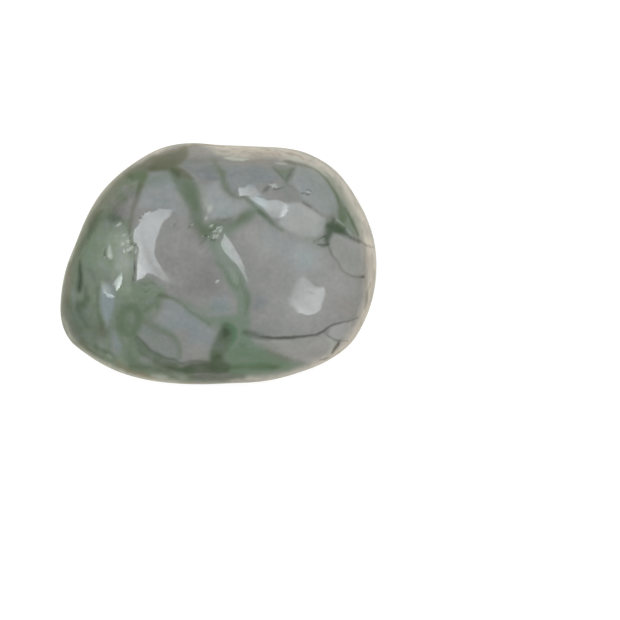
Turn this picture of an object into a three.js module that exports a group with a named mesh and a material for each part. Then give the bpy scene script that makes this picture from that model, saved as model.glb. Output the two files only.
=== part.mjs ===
// A tumbled stone: one solid pebble, polished all over, whose worn faces meet in soft ridges.
// Millimetres, +Z up. +X runs along the stone's length and +Z out of its best face. The origin lies
// under the middle of the stone, on the surface that its small flat spot rests on.
import * as THREE from "three";
import { mergeVertices } from "three/addons/utils/BufferGeometryUtils.js";

const LENGTH = 17.0;
const WIDTH = 13.0;
const THICKNESS = 9.4;

// Each edge of the icosahedron that the surface starts from is cut into this many pieces, plus one.
const SURFACE_CUTS = 19;

// The outline seen from above: how far it reaches at each compass angle, in degrees from +X.
const OUTLINE = [
  [0, 8.5], [20, 8.34], [36, 8.08], [48, 7.66], [55, 7.42], [62, 7.08], [73, 6.6], [86, 6.38],
  [94, 6.44], [103, 6.73], [113, 6.93], [128, 7.05], [148, 7.42], [165, 7.63], [173, 7.82],
  [181, 8.2], [191, 8.69], [200, 9.12], [207, 9.13], [214, 8.72], [225, 8.12], [236, 7.52],
  [249, 6.94], [262, 6.6], [275, 6.5], [290, 6.77], [305, 7.22], [318, 7.83], [330, 8.35],
  [345, 8.5],
];

// The pebble before its faces were worn, from the level where it is widest. A fullness of 2 would
// make its upright sections ellipses, and more makes them boxier.
const CROWN_HEIGHT = 5.35;
const BELLY_DEPTH = 4.4;
const FULLNESS = 2.5;

// Worn faces: the compass angle and the slope that each one looks along, and its distance from the
// middle of the stone.
const CROWN_FACES = [
  { looks: [165, 78], distance: 4.92 },
  { looks: [-22, 71], distance: 5.1 },
  { looks: [50, 63], distance: 5.62 },
  { looks: [230, 58], distance: 5.76 },
  { looks: [182, 57], distance: 5.98 },
  { looks: [276, 40], distance: 6.0 },
  { looks: [86, 22], distance: 6.0 },
  { looks: [38, 27], distance: 7.35 },
  { looks: [-10, 27], distance: 8.0 },
  { looks: [135, 30], distance: 6.8 },
];
const BELLY_FACES = [
  { looks: [15, -42], distance: 6.7 },
  { looks: [112, -48], distance: 5.3 },
  { looks: [196, -38], distance: 8.05 },
  { looks: [262, -46], distance: 5.5 },
  { looks: [318, -33], distance: 7.3 },
];
// Higher makes the ridges between the faces crisper.
const RIDGE_CRISPNESS = 18;

// Low crests on the crown, where harder veins stand proud of what the tumbling wore away.
const CRESTS = [
  {
    along: [[-1.4, 4.6], [-0.7, 2.6], [0.1, 1.4], [0.8, 0.4], [1.5, -1.0], [1.7, -2.4], [1.5, -4.0]],
    height: 0.03,
    halfWidth: 0.7,
  },
  {
    along: [[0.5, 5.0], [1.1, 3.9], [2.2, 3.3], [3.4, 2.3], [4.4, 1.9], [5.8, 1.7]],
    height: 0.025,
    halfWidth: 0.65,
  },
];

// The flat spot is ground off this far under the widest level.
const REST_DEPTH = 4.31;

const WHOLE_TURN = 360;

function directionOf([compass, slope]) {
  const turn = THREE.MathUtils.degToRad(compass);
  const rise = THREE.MathUtils.degToRad(slope);
  return new THREE.Vector3(
    Math.cos(rise) * Math.cos(turn),
    Math.cos(rise) * Math.sin(turn),
    Math.sin(rise),
  );
}

// The outline's reach between two of its listed angles, on a smooth curve through all of them.
function outlineReach(compass) {
  const count = OUTLINE.length;
  const point = (index) => {
    const turns = Math.floor(index / count);
    const [angle, reach] = OUTLINE[index - turns * count];
    return [angle + turns * WHOLE_TURN, reach];
  };
  const next = OUTLINE.findIndex(([angle]) => angle > compass);
  const end = next < 0 ? count : next;
  const [before, from, to, after] = [end - 2, end - 1, end, end + 1].map(point);
  const span = to[0] - from[0];
  const share = (compass - from[0]) / span;
  const leaving = ((to[1] - before[1]) / (to[0] - before[0])) * span;
  const arriving = ((after[1] - from[1]) / (after[0] - from[0])) * span;
  const square = share * share;
  const cube = square * share;
  return (
    (2 * cube - 3 * square + 1) * from[1] +
    (cube - 2 * square + share) * leaving +
    (3 * square - 2 * cube) * to[1] +
    (cube - square) * arriving
  );
}

// How far the unworn pebble reaches in a direction.
function pebbleReach(direction) {
  const compass = THREE.MathUtils.radToDeg(Math.atan2(direction.y, direction.x));
  const across = outlineReach((compass + WHOLE_TURN) % WHOLE_TURN);
  const upright = direction.z > 0 ? CROWN_HEIGHT : BELLY_DEPTH;
  const level = Math.hypot(direction.x, direction.y) / across;
  const rise = Math.abs(direction.z) / upright;
  return (level ** FULLNESS + rise ** FULLNESS) ** (-1 / FULLNESS);
}

// How far the worn stone reaches: to the nearest of the pebble and its faces, blended where they meet.
function wornReach(direction, faces) {
  let sum = pebbleReach(direction) ** -RIDGE_CRISPNESS;
  for (const { normal, distance } of faces) {
    const towards = direction.dot(normal);
    if (towards > 0) sum += (towards / distance) ** RIDGE_CRISPNESS;
  }
  return sum ** (-1 / RIDGE_CRISPNESS);
}

// The height that the crests add over a place on the crown.
function crestHeight(place, crests) {
  const level = new THREE.Vector3(place.x, place.y, 0);
  const nearest = new THREE.Vector3();
  let height = 0;
  for (const { stretches, height: crestTop, halfWidth } of crests) {
    const away = Math.min(
      ...stretches.map((stretch) =>
        stretch.closestPointToPoint(level, true, nearest).distanceTo(level),
      ),
    );
    height += crestTop * Math.exp(-((away / halfWidth) ** 2));
  }
  return height;
}

function stoneGeometry() {
  const faces = [...CROWN_FACES, ...BELLY_FACES].map(({ looks, distance }) => ({
    normal: directionOf(looks),
    distance,
  }));
  const crests = CRESTS.map(({ along, height, halfWidth }) => {
    const points = along.map(([x, y]) => new THREE.Vector3(x, y, 0));
    const stretches = points.slice(1).map((point, index) => new THREE.Line3(points[index], point));
    return { stretches, height, halfWidth };
  });

  const ball = new THREE.IcosahedronGeometry(1, SURFACE_CUTS);
  ball.deleteAttribute("normal");
  ball.deleteAttribute("uv");
  const geometry = mergeVertices(ball);
  const position = geometry.attributes.position;
  const direction = new THREE.Vector3();
  const place = new THREE.Vector3();
  for (let index = 0; index < position.count; index += 1) {
    direction.fromBufferAttribute(position, index).normalize();
    place.copy(direction).multiplyScalar(wornReach(direction, faces));
    if (place.z > 0) place.addScaledVector(direction, crestHeight(place, crests) * direction.z);
    place.z = Math.max(place.z, -REST_DEPTH);
    position.setXYZ(index, place.x, place.y, place.z);
  }
  return geometry;
}

// Brings the stone to its driving sizes, with its middle over the origin and its flat spot at z = 0.
function toSize(geometry) {
  geometry.computeBoundingBox();
  const size = geometry.boundingBox.getSize(new THREE.Vector3());
  const middle = geometry.boundingBox.getCenter(new THREE.Vector3());
  geometry.translate(-middle.x, -middle.y, -geometry.boundingBox.min.z);
  geometry.scale(LENGTH / size.x, WIDTH / size.y, THICKNESS / size.z);
  geometry.computeVertexNormals();
  return geometry;
}

const agate = new THREE.MeshStandardMaterial({
  name: "polished_agate",
  color: new THREE.Color().setRGB(0.5, 0.54, 0.52, THREE.SRGBColorSpace),
  roughness: 0.12,
  metalness: 0,
});

const stone = new THREE.Mesh(toSize(stoneGeometry()), agate);
stone.name = "stone";

const tumbledStone = new THREE.Group();
tumbledStone.add(stone);

export default tumbledStone;
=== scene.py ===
"""A tumbled stone of grey agate netted with green veins, polished all over, lying on a pale floor.

The pebble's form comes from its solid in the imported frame. Here it gets a fine surface with ripples,
pits, chips and cracks, the veins and tones of the stone, and its polish.
"""

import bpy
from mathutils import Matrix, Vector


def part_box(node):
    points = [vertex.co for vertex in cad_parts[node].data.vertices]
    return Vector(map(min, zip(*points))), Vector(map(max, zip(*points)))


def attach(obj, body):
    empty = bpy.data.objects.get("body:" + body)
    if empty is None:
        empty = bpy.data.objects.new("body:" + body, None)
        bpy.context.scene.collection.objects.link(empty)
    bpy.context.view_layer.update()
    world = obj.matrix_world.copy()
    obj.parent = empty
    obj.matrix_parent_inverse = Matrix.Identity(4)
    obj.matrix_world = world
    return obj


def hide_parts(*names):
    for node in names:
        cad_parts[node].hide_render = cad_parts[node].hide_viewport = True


bl_info = {
    "name": "Tumbled stone",
    "version": (1, 0, 0),
    "blender": (4, 5, 0),
    "location": "3D view > sidebar > Stone",
    "description": "A polished agate pebble with green veins, and the floor and lights that it is shown in",
    "category": "Object",
}

from collections import namedtuple
from itertools import product

import bpy
import numpy as np
from mathutils import Vector, noise

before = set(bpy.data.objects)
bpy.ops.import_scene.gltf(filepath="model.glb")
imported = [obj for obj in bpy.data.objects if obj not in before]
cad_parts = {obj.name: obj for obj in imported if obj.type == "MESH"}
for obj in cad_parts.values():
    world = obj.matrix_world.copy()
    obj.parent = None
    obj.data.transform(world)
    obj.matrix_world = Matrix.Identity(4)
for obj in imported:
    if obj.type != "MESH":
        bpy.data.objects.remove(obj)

MM = 0.001
BODY = "root"
NODE = "stone"
PIECE = "polished_stone"

# The noise draws its offsets from the clock unless it has a seed, so this one keeps all runs alike.
NOISE_SEED = 3

# The fine surface: corners of the solid's triangles nearer than this are joined, a ball of this
# radius encloses the solid in a box of 1, and the ball is divided and later smoothed this often.
WELD = 0.001 * MM
BALL_RADIUS = 0.62
FINE_LEVELS = 2
SMOOTHING_ROUNDS = 16

# Pits and chips: the depth in millimetres that a vertex's full weight stands for, the weight under
# which it stays where it is, the size of the broken grains in a chip, and how much deeper than its
# own depth the deepest of them goes.
FULL_WEIGHT_DEPTH = 0.1
LEAST_WEIGHT = 0.01
BROKEN_GRAIN = 0.22 * MM
BROKEN_DEPTH = 1.6
# A chip's colour starts at the first of these depths and is full at the second, in millimetres.
CHIP_EDGE_DEPTHS = (0.008, 0.03)

# The drawn pattern shows above the first height and alone above the second, in millimetres.
DRAWN_FROM = 2.4
DRAWN_FULLY_FROM = 3.6
# The green veins' faint haze spreads this many times as far as their own fade.
HAZE_SPREAD = 4
# How strongly the fan of fresh green colours the stone.
FAN_STRENGTH = 0.62

# Round the sides and below, a seeded network takes the veins on: the widths of its cells and of its
# fine cells in millimetres, and how strongly it varies each tone and shows each colour.
SIDE_CELL_WIDTH = 3.2
SIDE_FINE_CELL_WIDTH = 1.9
SIDE_STRENGTHS = {
    "light": 0.12, "warm": 0.8, "green": 0.7, "fresh": 0.4, "haze": 0.3, "olive": 0.5, "dark": 0.6,
    "rust": 0.25, "pale": 0.3,
}
# There the moss starts at the first place along the stone and is full at the second, and the pale
# rind with its painted edge glow ends at the first height and is whole above the second, in millimetres.
SIDE_MOSS_FROM, SIDE_MOSS_FULLY_FROM = -3.4, -5.0
SIDE_RIND_AND_GLOW_DOWN_TO, SIDE_RIND_AND_GLOW_WHOLE_ABOVE = 1.0, 2.6

# Noise: how far apart the seeds lie in it, how finely it tells the network's cells apart, and the
# middle of a noise texture's values.
SEED_SHIFTS = (17.3, 5.1, 9.7)
TONE_STEPS = 7
MID_NOISE = 0.5

# The material: how stretched the streaks are along each axis, how strongly these fields show at
# their fullest, and how rough the polish is, and how much rougher where the stone is broken.
STREAK_STRETCH = (1.0, 0.4, 0.6)
MOSS_SHOWS = 0.92
HAZE_SHOWS = 0.3
CHIPS_SHOW = 0.75
POLISH_ROUGHNESS = 0.04
BROKEN_ROUGHNESS = 0.3

# The floor lies this far under the stone, so that it doesn't touch the flat spot.
FLOOR_DEPTH = 0.005 * MM
WHITE = (1, 1, 1)
# The stone's slope is read at places this far apart.
SLOPE_STEP = 0.1 * MM
# Keeps a stretch of no length from dividing by zero.
NO_LENGTH = 1e-12

# Places in the patterns below are in millimetres from the stone's middle, seen from above, with x
# along its length and y across it.

# A vein, crack or band: how strongly it colours the stone, how far its edge fades, and its route as
# x, y and half width.
Vein = namedtuple("Vein", "strength fade route")

# A closed patch: how far its edge fades, and its outline.
Patch = namedtuple("Patch", "fade outline")

# A closed patch with its own tone: its lightness and warmth against the grey ground, how far its edge
# fades, and its outline.
Cell = namedtuple("Cell", "light warm fade outline")

# A soft patch of tone: its middle, its reach, and its lightness and warmth.
Cloud = namedtuple("Cloud", "x y reach light warm")

# A pit or chip: its middle, radius and depth.
Pit = namedtuple("Pit", "x y radius depth")

# A light: its name, and its outline as x, y and its share of the full brightness at each corner.
Light = namedtuple("Light", "name outline")

GREEN_VEINS = (
    # The trunk, from the far edge down to the knot, with its darker heart.
    Vein(0.66, 0.16, ((-2.5, 5.3, 0.3), (-2.25, 4.85, 0.34), (-1.82, 4.3, 0.44), (-1.45, 3.75, 0.5),
                      (-1.22, 3.1, 0.4), (-1.08, 2.5, 0.3), (-0.96, 2.05, 0.27),
                      (-0.66, 1.65, 0.28))),
    Vein(0.78, 0.14, ((-1.78, 4.35, 0.16), (-1.6, 4.05, 0.28), (-1.4, 3.7, 0.34),
                      (-1.27, 3.35, 0.3), (-1.2, 2.95, 0.22), (-1.18, 2.55, 0.1))),
    # The knot, and darker streaks in the long vein below it.
    Vein(0.35, 0.2, ((-1.05, 2.0, 0.1), (-0.75, 1.75, 0.2), (-0.4, 1.6, 0.16), (-0.15, 1.25, 0.1))),
    Vein(0.45, 0.12, ((-0.1, 0.15, 0.03), (0.12, -0.1, 0.06), (0.42, -0.3, 0.06),
                      (0.6, -0.75, 0.08), (0.78, -1.1, 0.08), (1.1, -1.4, 0.06))),
    Vein(0.4, 0.12, ((1.0, -0.45, 0.03), (1.2, -0.8, 0.06), (1.36, -1.2, 0.1))),
    Vein(0.5, 0.16, ((1.35, -1.2, 0.08), (1.6, -1.7, 0.14), (1.64, -2.1, 0.14), (1.5, -2.7, 0.06))),
    # The far left edge.
    Vein(1.0, 0.2, ((-4.85, 4.7, 0.2), (-4.5, 4.7, 0.34), (-4.0, 4.65, 0.3), (-4.1, 4.15, 0.14))),
    Vein(0.6, 0.2, ((-4.2, 5.0, 0.2), (-3.2, 5.1, 0.14), (-2.5, 5.05, 0.25))),
    Vein(0.36, 0.3, ((-3.8, 4.2, 0.15), (-3.3, 4.4, 0.3), (-2.7, 4.6, 0.25))),
    # Between the two top cells, and its links down to the knot and on to the right.
    Vein(0.56, 0.14, ((-0.2, 5.5, 0.08), (0.02, 5.1, 0.13), (0.25, 4.75, 0.17), (0.36, 4.3, 0.15),
                      (0.5, 3.9, 0.13), (0.74, 3.6, 0.08), (1.1, 3.46, 0.05), (1.5, 3.5, 0.04))),
    Vein(0.5, 0.18, ((0.75, 2.0, 0.14), (1.05, 2.16, 0.2), (1.4, 2.38, 0.26), (1.75, 2.6, 0.24),
                     (2.05, 2.74, 0.08))),
    Vein(0.4, 0.2, ((-0.3, 1.95, 0.16), (0.0, 2.05, 0.16), (0.5, 2.05, 0.22), (0.95, 2.15, 0.2))),
    Vein(0.66, 0.14, ((1.45, 3.5, 0.05), (1.8, 3.2, 0.09), (2.12, 2.84, 0.12), (2.5, 2.48, 0.1),
                      (2.9, 2.12, 0.08), (3.45, 1.7, 0.04))),
    # Under the middle.
    Vein(0.65, 0.1, ((-2.95, -1.72, 0.14), (-2.6, -1.8, 0.1), (-2.3, -1.9, 0.08),
                     (-1.98, -2.12, 0.07), (-1.6, -2.37, 0.06), (-1.28, -2.68, 0.06),
                     (-0.9, -2.92, 0.06), (-0.6, -3.1, 0.07), (-0.35, -3.22, 0.05))),
    # The hook in the near left, its branches, and its way on to the near edge.
    Vein(0.7, 0.2, ((-5.35, -3.0, 0.1), (-5.12, -2.65, 0.24), (-4.8, -2.42, 0.24),
                    (-4.45, -2.4, 0.22), (-4.2, -2.65, 0.24), (-4.17, -3.0, 0.24),
                    (-4.35, -3.45, 0.24), (-4.65, -3.8, 0.22), (-4.98, -3.6, 0.22),
                    (-5.13, -3.2, 0.22), (-5.15, -2.8, 0.2))),
    Vein(0.5, 0.2, ((-4.95, -3.55, 0.2), (-4.85, -3.3, 0.26), (-4.55, -3.45, 0.2))),
    Vein(0.25, 0.2, ((-4.6, -2.8, 0.1), (-4.7, -3.3, 0.1))),
    Vein(0.5, 0.2, ((-4.05, -2.7, 0.12), (-3.75, -2.45, 0.14), (-3.43, -2.22, 0.14),
                    (-3.1, -2.0, 0.12), (-2.84, -1.78, 0.1))),
    Vein(0.62, 0.2, ((-4.0, -3.15, 0.12), (-3.7, -3.25, 0.16), (-3.35, -3.4, 0.19),
                     (-3.0, -3.56, 0.18), (-2.6, -3.76, 0.14), (-2.3, -3.98, 0.13),
                     (-2.08, -4.3, 0.12), (-2.0, -4.7, 0.1), (-1.98, -5.0, 0.06))),
    Vein(0.55, 0.3, ((-4.5, -3.8, 0.2), (-4.75, -4.6, 0.25), (-4.6, -5.2, 0.3), (-4.0, -5.6, 0.2))),
    # A soft stain low in the left end.
    Vein(0.3, 0.4, ((-7.25, -2.3, 0.2), (-7.1, -3.1, 0.4), (-6.5, -3.9, 0.3))),
    # Along the near edge, and the dark heart's column down to it.
    Vein(0.55, 0.2, ((0.5, -5.65, 0.2), (1.2, -5.55, 0.12), (2.0, -5.6, 0.14), (2.6, -5.5, 0.16),
                     (3.1, -5.52, 0.16))),
    Vein(0.6, 0.16, ((0.45, -3.5, 0.26), (0.4, -3.9, 0.4), (0.24, -4.3, 0.44), (0.05, -4.65, 0.42),
                     (-0.02, -5.0, 0.4), (0.05, -5.5, 0.4))),
    Vein(0.5, 0.1, ((1.2, -4.3, 0.05), (1.32, -4.42, 0.1), (1.5, -4.35, 0.04))),
    # The right shoulder: a filled triangle, and the line that runs round to the star.
    Vein(0.2, 0.16, ((2.95, 5.1, 0.06), (3.3, 4.95, 0.14), (3.65, 4.85, 0.26), (4.0, 4.95, 0.16),
                     (4.15, 5.2, 0.05))),
    Vein(0.25, 0.14, ((3.62, 4.8, 0.2), (3.66, 4.55, 0.12), (3.7, 4.25, 0.04))),
    Vein(0.8, 0.09, ((4.3, 5.3, 0.03), (5.1, 5.05, 0.04), (5.75, 4.5, 0.05), (6.1, 4.0, 0.06),
                     (6.36, 3.55, 0.08), (6.5, 3.2, 0.1))),
    Vein(0.8, 0.16, ((6.5, 3.25, 0.1), (6.62, 2.85, 0.2), (6.68, 2.5, 0.26), (6.6, 2.25, 0.2))),
    Vein(0.8, 0.2, ((5.8, 1.9, 0.1), (6.2, 1.9, 0.24), (6.6, 1.75, 0.14))),
    Vein(0.2, 0.3, ((6.2, 3.0, 0.1), (6.0, 2.5, 0.2), (5.6, 2.0, 0.12))),
    Vein(0.85, 0.08, ((6.8, 2.9, 0.1), (7.02, 2.5, 0.09), (7.27, 1.97, 0.08), (7.5, 1.45, 0.07))),
)

FRESH_VEINS = (
    # Down from the knot to the near edge, where the green is lightest and clearest.
    Vein(0.38, 0.3, ((-0.5, 1.6, 0.28), (-0.1, 1.0, 0.3), (0.2, 0.45, 0.34), (0.45, 0.0, 0.4),
                     (0.78, -0.5, 0.46), (1.1, -1.1, 0.44), (1.32, -1.7, 0.38))),
    Vein(0.34, 0.25, ((0.05, 1.15, 0.15), (0.35, 0.6, 0.24), (0.65, 0.05, 0.28), (0.95, -0.4, 0.28),
                      (1.2, -0.95, 0.2))),
    Vein(0.42, 0.16, ((1.2, -1.3, 0.3), (1.38, -1.8, 0.34), (1.38, -2.4, 0.32), (1.36, -3.0, 0.34),
                      (1.32, -3.5, 0.36), (1.3, -4.0, 0.4), (1.4, -4.5, 0.5))),
    Vein(0.5, 0.14, ((1.62, -2.7, 0.03), (1.66, -3.1, 0.08), (1.55, -3.5, 0.1))),
    Vein(0.95, 0.25, ((0.5, -3.3, 0.2), (0.85, -3.5, 0.25), (0.92, -3.8, 0.22), (0.8, -4.2, 0.2),
                      (0.55, -4.6, 0.1))),
    Vein(0.8, 0.3, ((0.75, -4.9, 0.1), (1.3, -4.85, 0.2), (1.9, -4.95, 0.2), (2.4, -5.05, 0.1))),
    Vein(0.8, 0.2, ((0.5, -5.6, 0.2), (1.0, -5.5, 0.25), (1.6, -5.5, 0.28), (2.5, -5.52, 0.28),
                    (3.2, -5.52, 0.2), (3.7, -5.45, 0.06))),
    Vein(0.25, 0.4, ((1.9, -3.8, 0.1), (2.5, -4.15, 0.15), (3.2, -4.55, 0.1))),
    # Under the middle, where it meets the long vein.
    Vein(0.3, 0.2, ((-1.9, -1.95, 0.05), (-1.5, -2.15, 0.14), (-1.1, -2.45, 0.1))),
    Vein(0.25, 0.4, ((-1.4, -2.6, 0.1), (-0.6, -2.5, 0.2), (0.4, -2.4, 0.2))),
    Vein(0.5, 0.2, ((-1.0, -2.8, 0.06), (-0.4, -2.98, 0.16), (0.2, -3.05, 0.24), (0.8, -3.05, 0.28),
                    (1.2, -3.0, 0.25))),
    Vein(0.35, 0.3, ((-0.4, -3.2, 0.1), (0.0, -3.3, 0.2), (0.2, -3.5, 0.1))),
    # Right of the knot, and beside the trunk.
    Vein(0.46, 0.3, ((-0.3, 1.85, 0.2), (0.4, 1.65, 0.25), (0.9, 1.9, 0.2), (1.6, 2.4, 0.2),
                     (2.0, 2.7, 0.12))),
    Vein(0.1, 0.3, ((-0.9, 4.2, 0.1), (-0.78, 3.7, 0.2), (-0.68, 3.2, 0.1))),
    # The right shoulder: the triangle, round the star, and the edge beyond.
    Vein(0.24, 0.3, ((3.0, 5.05, 0.06), (3.35, 4.9, 0.14), (3.65, 4.75, 0.26), (3.95, 4.9, 0.14))),
    Vein(0.2, 0.3, ((3.62, 4.8, 0.2), (3.66, 4.55, 0.14), (3.7, 4.25, 0.04))),
    Vein(0.12, 0.25, ((3.5, 4.2, 0.2), (3.75, 3.7, 0.2), (4.0, 3.2, 0.05))),
    Vein(0.12, 0.5, ((4.7, 4.6, 0.3), (5.4, 3.9, 0.5), (5.8, 3.2, 0.3))),
    Vein(0.26, 0.3, ((5.6, 4.9, 0.1), (6.35, 4.1, 0.2), (6.95, 3.1, 0.25), (7.35, 2.2, 0.2))),
    Vein(0.3, 0.3, ((7.0, 3.2, 0.2), (7.35, 2.4, 0.25), (7.6, 1.7, 0.2))),
    Vein(0.36, 0.2, ((6.75, 2.3, 0.2), (7.0, 1.95, 0.2), (7.2, 1.6, 0.12))),
    Vein(0.18, 0.4, ((4.5, 1.5, 0.1), (5.2, 1.1, 0.3), (6.0, 0.9, 0.2))),
    Vein(0.12, 0.4, ((6.5, 0.9, 0.2), (7.0, 0.3, 0.4), (7.3, -0.3, 0.2))),
    # Soft clouds over the hook and beside it, in the left end, and above the fan.
    Vein(0.12, 0.3, ((-4.3, -1.2, 0.25), (-3.7, -1.6, 0.3), (-3.2, -1.6, 0.15))),
    Vein(0.25, 0.25, ((-3.9, -3.6, 0.2), (-3.4, -3.9, 0.2), (-3.0, -4.3, 0.1))),
    Vein(0.16, 0.3, ((-3.6, -4.0, 0.2), (-3.0, -4.5, 0.3), (-2.3, -5.0, 0.1))),
    Vein(0.22, 0.5, ((-6.9, 1.5, 0.3), (-7.0, 0.3, 0.3), (-6.6, -0.8, 0.3))),
    Vein(0.15, 0.5, ((2.0, -3.4, 0.2), (3.2, -3.7, 0.2), (4.4, -4.1, 0.3))),
)

OLIVE_VEINS = (
    # The brown band along the far left edge, and the lines that run down the left end from it.
    Vein(0.92, 0.18, ((-4.6, 5.0, 0.1), (-4.0, 5.2, 0.24), (-3.35, 5.32, 0.46), (-2.6, 5.5, 0.48),
                      (-2.1, 5.65, 0.42), (-1.85, 5.95, 0.28), (-1.75, 6.15, 0.14))),
    Vein(0.7, 0.3, ((-4.7, 4.95, 0.2), (-5.3, 4.4, 0.2), (-5.9, 3.7, 0.2), (-6.4, 2.95, 0.24),
                    (-6.8, 2.25, 0.3))),
    Vein(0.45, 0.3, ((-6.85, 2.3, 0.3), (-7.3, 1.1, 0.26), (-7.7, 0.2, 0.2), (-8.0, -0.6, 0.16))),
    Vein(0.3, 0.3, ((-8.0, -0.6, 0.16), (-8.2, -1.5, 0.2), (-8.2, -2.4, 0.22), (-7.95, -3.2, 0.22),
                    (-7.45, -4.0, 0.2), (-6.9, -4.5, 0.16), (-6.0, -5.1, 0.12))),
    Vein(0.66, 0.14, ((-4.0, 4.15, 0.1), (-4.2, 3.6, 0.12), (-4.38, 3.15, 0.13), (-4.5, 2.7, 0.11),
                      (-4.6, 2.2, 0.1), (-4.63, 1.7, 0.06))),
    # Where the trunk leaves the band, and the far edge beside it.
    Vein(0.75, 0.12, ((-2.35, 5.0, 0.14), (-1.98, 4.78, 0.24), (-1.6, 4.6, 0.15),
                      (-1.3, 4.42, 0.04))),
    Vein(0.36, 0.2, ((-1.7, 5.5, 0.14), (-1.0, 5.5, 0.14), (-0.5, 5.55, 0.08), (0.1, 5.5, 0.08))),
    # At the knot, and on the link right of it.
    Vein(0.3, 0.2, ((-1.3, 2.1, 0.15), (-1.05, 1.65, 0.25), (-0.75, 1.15, 0.12))),
    Vein(0.4, 0.2, ((-0.45, 1.75, 0.1), (-0.1, 1.7, 0.2), (0.05, 1.9, 0.1))),
    Vein(0.45, 0.12, ((1.15, 2.25, 0.1), (1.35, 2.42, 0.14), (1.5, 2.52, 0.08))),
    # Under the middle, in the fan, and at the near edge.
    Vein(0.45, 0.14, ((-3.0, -1.8, 0.08), (-2.75, -1.7, 0.1), (-2.6, -1.82, 0.06))),
    Vein(0.4, 0.3, ((2.3, -4.35, 0.06), (3.0, -4.8, 0.16), (3.7, -5.1, 0.14))),
    Vein(0.6, 0.25, ((-3.3, -5.3, 0.1), (-2.7, -5.5, 0.2), (-2.3, -5.65, 0.1))),
    # Stains in the left end.
    Vein(0.7, 0.2, ((-6.3, -3.3, 0.1), (-6.2, -3.55, 0.18), (-6.1, -3.8, 0.06))),
    Vein(0.5, 0.2, ((-7.3, -4.3, 0.12), (-6.9, -4.6, 0.12), (-6.4, -4.6, 0.06))),
    # Fine lines round the small right cell, at the shoulder, and down the right edge.
    Vein(0.6, 0.05, ((5.8, 1.05, 0.05), (5.95, 0.7, 0.05), (6.15, 0.35, 0.04), (6.42, 0.05, 0.03),
                     (6.5, -0.3, 0.03), (6.7, -0.5, 0.03), (7.0, -0.65, 0.04), (7.4, -0.75, 0.04),
                     (7.8, -0.75, 0.05))),
    Vein(0.7, 0.05, ((7.5, 1.25, 0.04), (7.86, 0.97, 0.05), (8.1, 0.9, 0.04), (8.45, 0.88, 0.03))),
    Vein(0.36, 0.12, ((3.68, 4.15, 0.04), (4.1, 3.92, 0.06), (4.32, 3.55, 0.05), (4.55, 3.26, 0.05),
                      (4.8, 3.08, 0.07), (5.2, 2.8, 0.08), (5.6, 2.5, 0.06))),
    Vein(0.7, 0.07, ((3.5, 5.5, 0.03), (3.8, 5.42, 0.08), (4.15, 5.3, 0.04))),
    Vein(0.35, 0.2, ((6.15, 2.5, 0.08), (5.95, 2.2, 0.16), (5.85, 1.85, 0.12))),
    Vein(0.2, 0.08, ((7.8, 0.8, 0.03), (7.8, 0.0, 0.05), (7.85, -0.8, 0.04))),
    Vein(0.5, 0.08, ((7.95, -1.5, 0.02), (7.96, -1.9, 0.08), (7.85, -2.4, 0.03))),
    Vein(0.4, 0.06, ((8.18, -1.0, 0.01), (8.15, -1.2, 0.03), (8.1, -1.35, 0.01))),
)

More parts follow.
